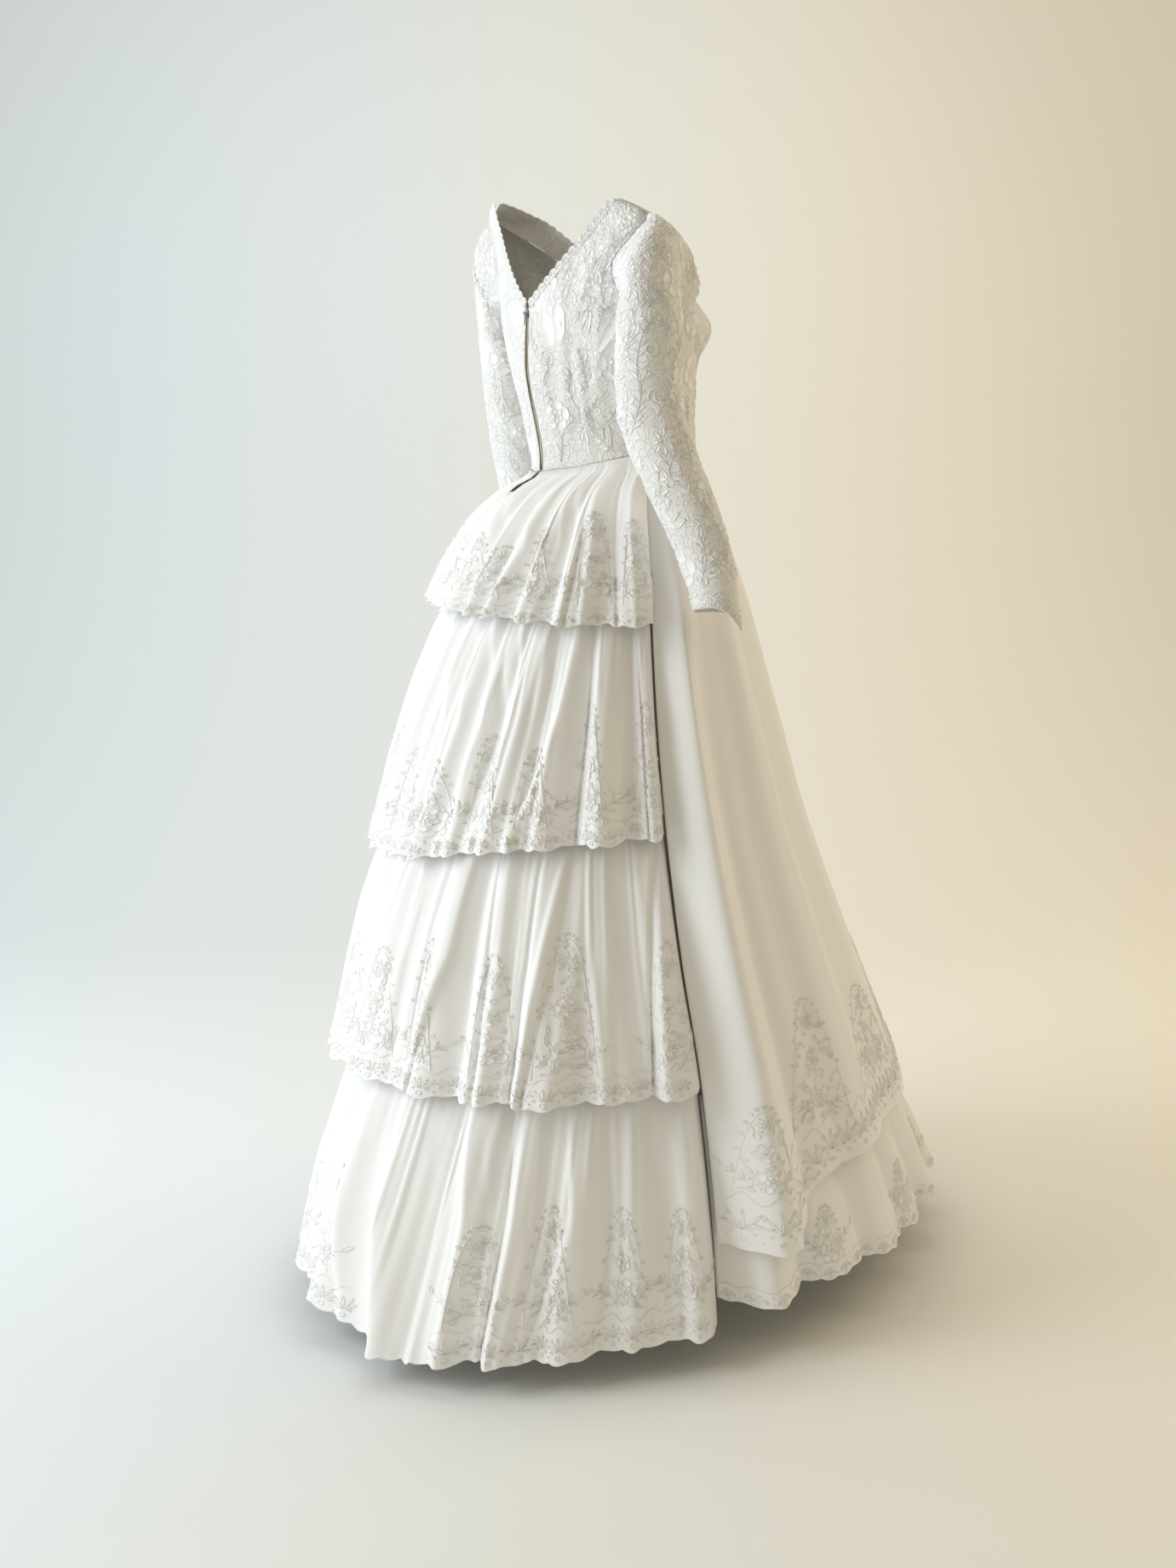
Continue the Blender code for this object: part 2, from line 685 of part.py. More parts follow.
def cut_eyelets(points, faces, row, columns, turns):
    """Opens a small window in some cells of a row, four quads left round each."""
    kept = []
    chosen = set()
    for wanted in EYELET_TURNS:
        cell = min(range(columns - 1), key=lambda c: abs((turns[c] + turns[c + 1]) / 2 - wanted))
        chosen.add((row * columns + cell, row * columns + cell + 1))
    for face in faces:
        if (face[0], face[1]) not in chosen:
            kept.append(face)
            continue
        corners = [points[i] for i in face]
        middle = sum(corners, Vector((0, 0, 0))) / 4
        first = len(points)
        points.extend(middle.lerp(corner, EYELET_SHARE) for corner in corners)
        for n in range(4):
            after = (n + 1) % 4
            kept.append((face[n], face[after], first + after, first + n))
    return kept


def build_front(finish):
    low = SIDE_TURN + 0.25
    turns = columns_between(low, 360 - low, FRONT_STEP)
    for layer in (FRONT_OVERSKIRT, FRONT_FLOUNCE):
        points = [layer_point(layer, turn, n / layer.rows) for n in range(layer.rows + 1) for turn in turns]
        cloth_object(layer.name, points, grid_faces(layer.rows + 1, len(turns)), CLOTH, finish)


# Edgings


def neck_strip(front):
    """Half a scalloped strip from the neckline's lowest point: its lobed and inner edges.

    Its points lie on the panel's own faces, moved out.
    """
    points, faces = half_panel(front, 1)
    corners = [tri for a, b, c, d in faces for tri in ((a, b, c), (a, c, d))]
    panel = BVHTree.FromPolygons(points, corners)
    out = CLOTH / 2 + EDGE_LACE / 2 + SEAM_GAP + (0.0011 if front else 0.0006)
    edge = [panel_point(LOWER_ROWS + n, 0, front) for n in range(ARM_ROWS + 1)]
    count = ARM_ROWS * SCALLOPS_PER_ROW * 2
    line = []
    for n in range(count + 1):
        low = min(n // (SCALLOPS_PER_ROW * 2), ARM_ROWS - 1)
        line.append(edge[low].lerp(edge[low + 1], n / (SCALLOPS_PER_ROW * 2) - low))
    lobed, inner = [], []
    for n, p in enumerate(line):
        way = (line[min(n + 1, count)] - line[max(n - 1, 0)]).normalized()
        if n == 0 and front:
            way = Vector((1, 0, 0))
        normal = panel.find_nearest(p)[1]
        if normal.dot(p - Vector((0, 0.0, p.z - 0.05))) < 0:
            normal = -normal
        inward = way.cross(normal).normalized()
        if inward.x - inward.z < 0:
            inward = -inward
        lobe = NECK_LACE_OUTSIDE + SCALLOP * abs(math.sin(math.pi * n / 2))
        lobed.append(p - inward * lobe + normal * out)
        under, under_normal = panel.find_nearest(p + inward * NECK_LACE_INSIDE)[:2]
        if under_normal.dot(normal) < 0:
            under_normal = -under_normal
        inner.append(under + under_normal * out)
    return lobed, inner


def build_neck_edgings(finish):
    lobed, inner = neck_strip(False)
    for name, sign in (("neck_edging_back_left", 1), ("neck_edging_back_right", -1)):
        points = [tilted(Vector((max(p.x, 0.0012) * sign, p.y, p.z))) for p in lobed + inner]
        cloth_object(name, points, grid_faces(2, len(lobed)), EDGE_LACE, finish)
    points = []
    for edge in neck_strip(True):
        edge[0].x = 0.0
        points += [tilted(Vector((-p.x, p.y, p.z))) for p in reversed(edge[1:])]
        points += [tilted(p) for p in edge]
    cloth_object("neck_edging_front", points, grid_faces(2, len(points) // 2), EDGE_LACE, finish)


# Zip


def tape_base(x, height):
    """The y of what a zip tape lies behind: the back panel, or the skirt below it."""
    if height < waist_height(0):
        near, far = underskirt_point(0, height), underskirt_point(TURN_STEP, height)
        return near.lerp(far, x / abs(far.x)).y
    points, faces = half_panel(False, 1)
    corners = [tri for a, b, c, d in faces for tri in ((a, b, c), (a, c, d))]
    panel = BVHTree.FromPolygons(points, corners)
    return panel.ray_cast(Vector((max(x, PLACKET_HALF_GAP + 0.0002), 1, height)), Vector((0, -1, 0)))[0].y


def tape_y(x, height):
    """The middle of a tape's wall; it stands further in where the skirt flares."""
    flared = 0.0010 if height > waist_height(0) + 0.01 else 0.0026
    return tape_base(x, height) - (CLOTH + TAPE) / 2 - SEAM_GAP - flared


def build_zip_tapes(finish):
    levels = [panel_edges(row, False)[0][1] for row in range(LOWER_ROWS + 1)]
    heights = [levels[-1] - 0.002] + levels[-2:0:-1]
    heights += [levels[0] + 0.003, SKIRT_ROWS[1] - 0.002, SKIRT_ROWS[2] + 0.004]
    for name, sign in (("zip_tape_left", 1), ("zip_tape_right", -1)):
        points = []
        for height in heights:
            for x in (ZIP_HALF_TEETH, PLACKET_HALF_GAP, ZIP_HALF_TEETH + ZIP_TAPE_WIDTH):
                points.append(Vector((x * sign, tape_y(x, height), height)))
        cloth_object(name, points, grid_faces(len(heights), 3), TAPE, finish)


def box_between(name, low, high):
    mesh = bpy.data.meshes.new(name)
    work = bmesh.new()
    bmesh.ops.create_cube(work, size=1)
    middle, size = (low + high) / 2, high - low
    for v in work.verts:
        v.co = Vector((v.co.x * size.x, v.co.y * size.y, v.co.z * size.z)) + middle
    work.to_mesh(mesh)
    work.free()
    return mesh


def round_bar(name, radius, length, middle, segments=12):
    """A round bar along X."""
    mesh = bpy.data.meshes.new(name)
    work = bmesh.new()
    bmesh.ops.create_cone(
        work, cap_ends=True, segments=segments, radius1=radius, radius2=radius, depth=length
    )
    for v in work.verts:
        v.co = Vector((v.co.z, v.co.y, -v.co.x)) + middle
    work.to_mesh(mesh)
    work.free()
    return mesh


def combine(name, first, others, finish):
    """One solid from meshes: each of others is (mesh, operation)."""
    made = new_object(name, first, finish)
    for n, (mesh, operation) in enumerate(others):
        tool = bpy.data.objects.new(f"{name}_tool_{n}", mesh)
        bpy.context.scene.collection.objects.link(tool)
        tool.hide_render = True
        tool.display_type = "WIRE"
        boolean = made.modifiers.new(operation.lower(), "BOOLEAN")
        boolean.object = tool
        boolean.operation = operation
        boolean.solver = "EXACT"
    return made


def zip_place():
    """The slider's upper end: seated on the tapes, just below the neckline's point."""
    height = BACK_V_HEIGHT - 0.006
    levels = [height - SLIDER_LENGTH * n / 4 for n in range(5)]
    tape_face = max(tape_y(ZIP_HALF_TEETH, level) for level in levels) + TAPE / 2
    return Vector((0, tape_face + SEAM_GAP, height - SHOULDER_HEIGHT))


def build_slider(finish):
    top = zip_place()
    half = SLIDER_WIDTH / 2
    body = box_between(
        "slider_body",
        top + Vector((-half, 0, -SLIDER_LENGTH)),
        top + Vector((half, SLIDER_THICKNESS, 0)),
    )
    pin_at = pin_middle()
    others = []
    for side in (-1, 1):
        inner = side * (half - LUG_WIDTH)
        low = Vector((min(inner, side * half), top.y + SLIDER_THICKNESS - 0.0004, pin_at.z - 0.0012))
        high = Vector((max(inner, side * half), pin_at.y + 0.0011, pin_at.z + 0.0012))
        others.append((box_between(f"slider_lug_{side}", low, high), "UNION"))
    pin = round_bar("slider_pin", PIN_RADIUS, SLIDER_WIDTH - 0.0004, pin_at)
    others.append((pin, "UNION"))
    combine("zip_slider", body, others, finish)


def pin_middle():
    return zip_place() + Vector((0, SLIDER_THICKNESS + LUG_RISE - 0.0011, -0.0030))


def build_pull_tab(finish):
    """Hangs straight down from the slider's pin, which runs through its eye."""
    pin_at = pin_middle()
    eye = round_bar("tab_eye", TAB_EYE_RADIUS, TAB_WIDTH, pin_at, 16)
    blade = box_between(
        "tab_blade",
        pin_at + Vector((-TAB_WIDTH / 2, -TAB_THICKNESS / 2, -TAB_LENGTH)),
        pin_at + Vector((TAB_WIDTH / 2, TAB_THICKNESS / 2, -PIN_RADIUS - EYE_CLEARANCE - 0.0002)),
    )
    hole = round_bar("tab_hole", PIN_RADIUS + EYE_CLEARANCE, TAB_WIDTH * 2, pin_at, 16)
    hinge = bpy.data.objects.new("pull_tab_pin", None)
    hinge.location = pin_at
    bpy.context.scene.collection.objects.link(hinge)
    made = combine("zip_pull_tab", eye, [(blade, "UNION"), (hole, "DIFFERENCE")], finish)
    made.parent = hinge
    made.location = -pin_at


def main():
    for old in list(bpy.data.objects):
        bpy.data.objects.remove(old)
    lace = material("ivory_lace", (0.88, 0.87, 0.84), 0.8)
    organza = material("white_organza", (0.93, 0.93, 0.92), 0.6)
    taffeta = material("plain_underskirt", (0.85, 0.85, 0.84), 0.7)
    tape = material("cream_tape", (0.70, 0.66, 0.55), 0.85)
    metal = material("dull_zip_metal", (0.32, 0.31, 0.30), 0.4, 1.0)
    build_bodice(lace)
    build_sleeves(lace)
    build_neck_edgings(lace)
    build_underskirt(taffeta)
    build_tiers(organza)
    build_front(organza)
    build_zip_tapes(tape)
    build_slider(metal)
    build_pull_tab(metal)


main()
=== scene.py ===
"""Looks of the long-sleeved lace wedding gown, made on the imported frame.

The gown's front faces -Y and its left side, as worn, is +X. Heights in the tables are
above the floor, and the frame's origin is between the shoulders. A turn is an angle round
the skirt: 0 at the centre back, 90 at the right side, 180 at the centre front.
Each cloth is a surface of two numbers, u and v, and its lace is laid on it in metres.
"""

import math
from collections import namedtuple

import bmesh
import bpy
import numpy as np
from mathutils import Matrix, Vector
from mathutils.bvhtree import BVHTree


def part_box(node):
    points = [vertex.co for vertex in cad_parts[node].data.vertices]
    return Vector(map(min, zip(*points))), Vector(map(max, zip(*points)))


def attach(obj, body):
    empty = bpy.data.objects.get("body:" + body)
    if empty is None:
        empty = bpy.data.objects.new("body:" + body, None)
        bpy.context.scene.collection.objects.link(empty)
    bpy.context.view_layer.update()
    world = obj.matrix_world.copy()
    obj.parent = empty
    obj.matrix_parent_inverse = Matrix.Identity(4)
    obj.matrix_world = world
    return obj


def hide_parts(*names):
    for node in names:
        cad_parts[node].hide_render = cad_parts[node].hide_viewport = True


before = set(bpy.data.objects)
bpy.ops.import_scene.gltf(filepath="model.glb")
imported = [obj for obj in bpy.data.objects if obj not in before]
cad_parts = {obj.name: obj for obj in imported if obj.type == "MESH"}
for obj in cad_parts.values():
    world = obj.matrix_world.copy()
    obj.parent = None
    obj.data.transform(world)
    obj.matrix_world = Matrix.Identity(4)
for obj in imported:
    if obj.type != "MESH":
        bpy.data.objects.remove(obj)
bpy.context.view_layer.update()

bl_info = {
    "name": "Lace Wedding Gown",
    "version": (1, 0, 0),
    "blender": (4, 5, 0),
    "location": "3D View > Sidebar > Gown",
    "description": "Cloth, lace and zip of a long-sleeved gown with a tiered back skirt",
    "category": "Object",
}

BODY = "dress"
UP = np.array((0.0, 0.0, 1.0))
FOREVER = 1e9  # the end of a surface that closes on itself


def table_of(kind, *values):
    """A table's rows, each from its plain values."""
    return tuple(kind(*row) for row in values)


SHOULDER_HEIGHT = 1.440  # the origin, at the neck end of the shoulder seams
SEAM_GAP = 0.0003  # between pieces that are sewn together
SHOULDER_SEAM_GAP = 0.0010
CLOTH = 0.0014  # wall of the solids' skirt layers and bodice
TAPE = 0.0010  # wall of the solids' zip tapes

# Bodice
WAIST_HEIGHT = 1.126
BACK_DIP = 0.024  # how far the waist seam drops at the centre back
BACK_V_HEIGHT = 1.309  # the point of the back neckline
FRONT_NECK_HEIGHT = 1.352  # the lowest point of the front neckline
NECK_HALF_WIDTH = 0.136
FRONT_NECK_POWER = 2.1  # the higher, the rounder the neckline's foot
BACK_NECK_POWER = 1.12
SHOULDER_TIP_HEIGHT = 1.424
UNDERARM_HEIGHT = 1.294
BACK_ARM_CUT = 34.0  # degrees that the armhole bites into the back
FRONT_ARM_CUT = 40.0
PLACKET_HALF_GAP = 0.0042  # the back edges stand this far from the centre line
PLACKET_PEAK = 0.010  # how far the open back edges stand off the form
PLACKET_SPREAD = 0.032
CUP_HEIGHT = 1.305
CUP_SIDE = 0.078
CUP_SPREAD = 0.040
CUP_RISE = 0.028
SHOULDER_TILT = 0.20  # the left shoulder is the higher one
LOWER_ROWS = 5
ARM_ROWS = 8
PANEL_COLUMNS = 9

Torso = namedtuple("Torso", "height half_width front_y back_y side_y")
TORSO = table_of(
    Torso,
    (1.085, 0.115, -0.149, 0.0655, -0.042), (1.126, 0.115, -0.149, 0.0655, -0.042),
    (1.16, 0.117, -0.146, 0.072, -0.035), (1.205, 0.125, -0.142, 0.083, -0.026),
    (1.25, 0.136, -0.138, 0.09, -0.014), (1.294, 0.145, -0.14, 0.094, -0.002),
    (1.335, 0.15, -0.116, 0.094, 0.008), (1.37, 0.156, -0.086, 0.09, 0.016),
    (1.4, 0.165, -0.056, 0.084, 0.024), (1.422, 0.169, -0.034, 0.0785, 0.034),
    (1.433, 0.156, -0.008, 0.0735, 0.046), (1.44, 0.137, 0.008, 0.069, 0.056),
)

# Sleeves. A section runs from its inner to its outer point; the two hang unevenly.
ArmSection = namedtuple("ArmSection", "inner_x inner_z outer_x outer_z left_y right_y half_depth")
ARM = table_of(
    ArmSection,
    (0.153, 1.29, 0.183, 1.4205, 0.022, 0.026, 0.052),
    (0.1545, 1.28, 0.199, 1.407, 0.02, 0.034, 0.0463),
    (0.153, 1.265, 0.21, 1.374, 0.015, 0.042, 0.0416),
    (0.153, 1.238, 0.221, 1.328, 0.007, 0.045, 0.0412),
    (0.1525, 1.202, 0.227, 1.272, -0.001, 0.047, 0.0412),
    (0.155, 1.162, 0.231, 1.206, -0.01, 0.0485, 0.0395),
    (0.163, 1.122, 0.238, 1.146, -0.022, 0.042, 0.0365),
    (0.177, 1.072, 0.249, 1.092, -0.042, 0.024, 0.0365),
    (0.195, 1.018, 0.262, 1.037, -0.064, 0.006, 0.0333),
    (0.213, 0.965, 0.275, 0.982, -0.084, -0.006, 0.0305),
    (0.225, 0.923, 0.284, 0.933, -0.098, -0.011, 0.0287),
)
CUFF_POINT = 0.030  # how far the cuff's point reaches down
CUFF_POINT_ANGLE = 40.0  # from the sleeve's outer line towards the front
CUFF_POINT_SPREAD = 55.0
CAP_BLEND = (0.62, 0.28)  # how much the first rings keep of the armhole's own line

# Skirt. Every layer stands a little off this form, which the underskirt has.
Form = namedtuple("Form", "height half_width half_length centre_y")
SKIRT = table_of(
    Form,
    (1.13, 0.115, 0.1073, -0.042), (1.1, 0.1156, 0.1085, -0.0414), (1.075, 0.129, 0.1279, -0.0292),
    (1.04, 0.149, 0.1479, -0.0185), (0.95, 0.177, 0.1859, -0.0126), (0.8, 0.213, 0.2305, -0.0049),
    (0.66, 0.24, 0.2642, -0.0068), (0.5, 0.273, 0.3145, -0.0185), (0.36, 0.294, 0.355, -0.0409),
    (0.2, 0.318, 0.4113, -0.0585), (0.026, 0.336, 0.46, -0.073),
)
SIDE_TURN = 76.25  # the seam between the tiered back and the plain front
SIDE_GAP = 0.08  # degrees from that seam to each layer's edge
PLACKET_DEPTH = 0.034  # the zip's slit below the waist seam
PLACKET_TURN = 7.5  # half the underskirt's slit, clear of the zip's teeth

# A hem's height by turn.
Hem = namedtuple("Hem", "turn height")
UNDER_HEM = table_of(Hem, (0, 0.028), (30, 0.032), (55, 0.055), (80, 0.092), (120, 0.096), (180, 0.1))
HEM_1 = table_of(Hem, (-78, 0.952), (-40, 0.944), (-10, 0.926), (20, 0.916), (45, 0.907), (78, 0.905))
HEM_2 = table_of(Hem, (-78, 0.63), (-38, 0.624), (5, 0.616), (30, 0.634), (52, 0.644), (78, 0.652))
HEM_3 = table_of(Hem, (-78, 0.33), (-38, 0.328), (0, 0.336), (30, 0.338), (78, 0.344))
HEM_4 = table_of(
    Hem,
    (-78, 0.064), (-40, 0.062), (-8, 0.055), (4, 0.045), (12, 0.031), (24, 0.03), (31, 0.034),
    (55, 0.04), (78, 0.048),
)
FRONT_HEM = table_of(
    Hem,
    (70, 0.15), (84, 0.15), (90, 0.16), (97, 0.2), (112, 0.228), (144, 0.262), (180, 0.276),
)
FLOUNCE_HEM = table_of(Hem, (70, 0.07), (100, 0.076), (140, 0.074), (180, 0.078))

# A ridge is one gather: its turn at the layer's top, how far it leans to the hem, its
# half width in degrees and how far its crest stands out at the hem.
Ridge = namedtuple("Ridge", "turn lean half_width rise")
TIER_1_RIDGES = table_of(
    Ridge,
    (-70, 0, 7, 0.01), (-59, -1, 6, 0.013), (-47, -2, 7, 0.016), (-35, -3, 6, 0.012),
    (-25, -4, 6, 0.015), (-14, -5, 6, 0.014), (-4, -7, 5, 0.012), (9, -8, 6, 0.018), (20, -8, 5, 0.014),
    (30, -8, 5, 0.016), (41, -7, 5, 0.015), (53, -5, 7, 0.019), (68, -1, 8, 0.015),
)
TIER_2_RIDGES = table_of(
    Ridge,
    (-72, 0, 5, 0.01), (-61, -2, 6, 0.014), (-50, -3, 5, 0.012), (-40, -4, 6, 0.014),
    (-30, -6, 5, 0.012), (-20, -8, 5, 0.017), (-10, -9, 5, 0.013), (0, -10, 6, 0.02),
    (11, -11, 5, 0.015), (21, -11, 5, 0.018), (31, -10, 5, 0.014), (41, -9, 6, 0.019),
    (52, -7, 6, 0.016), (62, -2, 6, 0.021), (73, 0, 5, 0.017),
)
TIER_3_RIDGES = table_of(
    Ridge,
    (-71, 0, 7, 0.014), (-58, -2, 6, 0.016), (-46, -3, 7, 0.014), (-33, -4, 6, 0.018),
    (-20, -5, 6, 0.018), (-8, -6, 6, 0.022), (6, -7, 7, 0.024), (25, -5, 6, 0.022), (36, -5, 5, 0.018),
    (47, -3, 7, 0.024), (59, 0, 6, 0.016), (71, 0, 6, 0.022),
)
TIER_4_RIDGES = table_of(
    Ridge,
    (-71, 0, 6, 0.014), (-59, -1, 7, 0.018), (-46, -2, 6, 0.016), (-34, -2, 7, 0.02),
    (-21, -3, 6, 0.018), (-9, -4, 6, 0.022), (5, -4, 7, 0.028), (34, -5, 6, 0.026), (44, -4, 5, 0.02),
    (54, -3, 6, 0.022), (64, -1, 6, 0.015), (73, 0, 5, 0.02),
)
FRONT_RIDGES = table_of(
    Ridge,
    (84, 0, 9, 0.04), (107, 2, 8, 0.016), (128, 2, 12, 0.01), (153, 0, 12, 0.009), (180, 0, 14, 0.01),
    (207, 0, 12, 0.009), (232, -2, 12, 0.01), (254, -2, 8, 0.016), (276, 0, 9, 0.03),
)
FLOUNCE_RIDGES = table_of(
    Ridge,
    (83, 0, 7, 0.034), (97, 0, 6, 0.012), (109, 1, 6, 0.018), (122, 1, 6, 0.014), (136, 2, 7, 0.018),
    (151, 2, 8, 0.02), (167, 1, 8, 0.018), (184, 0, 8, 0.02), (201, -1, 8, 0.018), (217, -2, 7, 0.02),
    (232, -2, 7, 0.018), (247, -1, 7, 0.018), (262, 0, 6, 0.014), (276, 0, 7, 0.026),
)

# A layer hangs from the underskirt at its top, and its hem covers the next tier's top.
# It swells off the form by stand_off at the hem, sooner the smaller its swell is.
Layer = namedtuple("Layer", "name top hem stand_off swell top_share fullness ridges")
TIERS = table_of(
    Layer,
    ("tier_1", WAIST_HEIGHT, HEM_1, 0.023, 0.42, 0.20, 0.85, TIER_1_RIDGES),
    ("tier_2", 0.958, HEM_2, 0.024, 0.62, 0.30, 0.72, TIER_2_RIDGES),
    ("tier_3", 0.672, HEM_3, 0.029, 0.62, 0.30, 0.68, TIER_3_RIDGES),
    ("tier_4", 0.374, HEM_4, 0.024, 0.62, 0.30, 0.85, TIER_4_RIDGES),
)
FRONT_OVERSKIRT, FRONT_FLOUNCE = table_of(
    Layer,
    ("front_overskirt", WAIST_HEIGHT, FRONT_HEM, 0.042, 0.65, 0.10, 1, FRONT_RIDGES),
    ("front_flounce", 0.330, FLOUNCE_HEM, 0.034, 0.60, 0.20, 1, FLOUNCE_RIDGES),
)
HEM_WAVE = 0.003  # how far a hem lifts between its gathers

# Sizes of the visible cloth
SHEET_WALL = 0.0008
ROLLED_HEM = 0.0009  # how far the rolled hem stands out
FINE_FOLD_SPREAD = 0.9  # how much wider a fine fold is at the hem than at its start


# Numbers and curves


def ease(share):
    """0 to 1 with level ends."""
    share = np.clip(share, 0.0, 1.0)
    return share * share * (3 - 2 * share)


def between(low, high, share):
    return low + (high - low) * share


def bump(away):
    """A soft hill of height 1 over -1 to 1."""
    return np.where(np.abs(away) < 1, 0.5 + 0.5 * np.cos(np.pi * away), 0.0)


def stacked(x, y, z):
    return np.stack(np.broadcast_arrays(x, y, z), axis=-1).astype(float)


def level(vectors):
    """Unit vectors."""
    return vectors / np.maximum(np.linalg.norm(vectors, axis=-1, keepdims=True), 1e-12)


def smooth_run(a, slope_a, b, slope_b, t):
    """A smooth curve from a to b with the slopes that it has at both."""
    return (
        a * (2 * t**3 - 3 * t**2 + 1)
        + slope_a * (t**3 - 2 * t**2 + t)
        + b * (3 * t**2 - 2 * t**3)
        + slope_b * (t**3 - t**2)
    )


def along(table, key, column, value):
    """A smooth curve through one column of a table, read at values of its key column."""
    ordered = sorted(table, key=lambda row: getattr(row, key))
    keys = np.array([getattr(row, key) for row in ordered], float)
    values = np.array([getattr(row, column) for row in ordered], float)
    value = np.clip(value, keys[0], keys[-1])
    i = np.clip(np.searchsorted(keys, value, side="right") - 1, 0, len(keys) - 2)
    order = np.arange(len(keys))
    low, high = np.maximum(order - 1, 0), np.minimum(order + 1, len(keys) - 1)
    slope = (values[high] - values[low]) / (keys[high] - keys[low])
    span = keys[i + 1] - keys[i]
    t = (value - keys[i]) / span
    return smooth_run(values[i], slope[i] * span, values[i + 1], slope[i + 1] * span, t)


# The bodice's form


def tilted(p):
    """The bodice leans: its left side is raised and its right side lowered."""
    raised = SHOULDER_TILT * p[..., 0] / (1 + 2 * np.abs(p[..., 0]))
    raised = raised * ease((p[..., 2] - WAIST_HEIGHT - 0.01) / 0.27)
    return p + raised[..., None] * UP


def placket_peak(x, height):
    """How far the back stands out where the zip's open edges pull it off the form."""
    window = ease((1.31 - height) / 0.09) * ease((height - 1.0) / 0.10)
    return PLACKET_PEAK * window * np.exp(-((x / PLACKET_SPREAD) ** 2))


def torso_point(angle, height):
    """On the bodice: angle 0 at the centre back, 90 at its left side, 180 in front."""
    turn = np.radians(angle)
    behind = np.cos(turn) > 0
    side_y = along(TORSO, "height", "side_y", height)
    back_y = along(TORSO, "height", "back_y", height)
    end_y = np.where(behind, back_y, along(TORSO, "height", "front_y", height))
    x = along(TORSO, "height", "half_width", height) * np.sin(turn)
    y = side_y + (end_y - side_y) * np.abs(np.cos(turn))
    away = np.hypot(np.abs(x) - CUP_SIDE, height - CUP_HEIGHT) / CUP_SPREAD
    cup = CUP_RISE * np.exp(-away * away) * ease(-2 * np.cos(turn))
    y = y + np.where(behind, placket_peak(x, height), -cup)
    return stacked(x, y, height)


def waist_height(turn):
    """The waist seam's height, lowest at the centre back."""
    return WAIST_HEIGHT - BACK_DIP * np.maximum(0.0, np.cos(np.radians(turn))) ** 1.5


def neck_angle(x, height, front):
    """The torso angle at which the form is x from the centre line."""
    width = along(TORSO, "height", "half_width", height)
    angle = np.degrees(np.arcsin(np.clip(x / width, -1, 1)))
    return 180 - angle if front else angle


def panel_point(row, column, front):
    """On half a bodice panel: rows from the waist up, columns from its centre edge."""
    low = np.clip(row / LOWER_ROWS, 0, 1)
    high = np.clip((row - LOWER_ROWS) / ARM_ROWS, 0, 1)
    lower = row <= LOWER_ROWS
    start = 0.0 if front else PLACKET_HALF_GAP
    neck_low = FRONT_NECK_HEIGHT if front else BACK_V_HEIGHT
    waist = WAIST_HEIGHT if front else waist_height(0)
    power = FRONT_NECK_POWER if front else BACK_NECK_POWER
    centre_low = between(waist + SEAM_GAP, neck_low, low)
    centre_high = between(neck_low, SHOULDER_HEIGHT, high**power)
    centre_height = np.where(lower, centre_low, centre_high)
    centre_x = np.where(lower, start, between(start, NECK_HALF_WIDTH, high))
    centre_angle = neck_angle(centre_x, centre_height, front)
    bite = (FRONT_ARM_CUT if front else -BACK_ARM_CUT) * np.sin(np.pi * high)
    side_low = between(WAIST_HEIGHT + SEAM_GAP, UNDERARM_HEIGHT, low)
    side_high = between(UNDERARM_HEIGHT, SHOULDER_TIP_HEIGHT, ease(high) * 0.3 + high * 0.7)
    side_height = np.where(lower, side_low, side_high)
    share = column / PANEL_COLUMNS
    angle = between(centre_angle, 90 + bite, share)
    height = between(centre_height, side_height, ease(share) * 0.5 + share * 0.5)
    seam = waist_height(angle) + SEAM_GAP
    height = height + (seam - height) * np.clip(1 - row, 0, 1)
    point = torso_point(angle, height)
    apart = SEAM_GAP / 2 * np.clip(share, 0, 1) ** 8 + SHOULDER_SEAM_GAP / 2 * high**8
    point[..., 1] += apart * (-1 if front else 1)
    return point


# A crease runs from one (column, row) of a panel to another; a trough has a negative rise.
Crease = namedtuple("Crease", "column row to_column to_row half_width rise")
PANEL_STEP = (0.021, 0.034)  # about one column's and one row's metres


def crease_rise(creases, column, row, step):
    """How far creases raise a cloth; each fades out at both its ends."""
    rise = 0.0
    for crease in creases:
        run = np.array((crease.to_column - crease.column, crease.to_row - crease.row)) * step
        off = ((column - crease.column) * step[0], (row - crease.row) * step[1])
        share = np.clip((off[0] * run[0] + off[1] * run[1]) / (run @ run), 0, 1)
        away = np.hypot(off[0] - run[0] * share, off[1] - run[1] * share) / crease.half_width
        rise = rise + crease.rise * np.exp(-away * away) * (0.25 + 0.75 * np.sin(np.pi * share))
    return rise


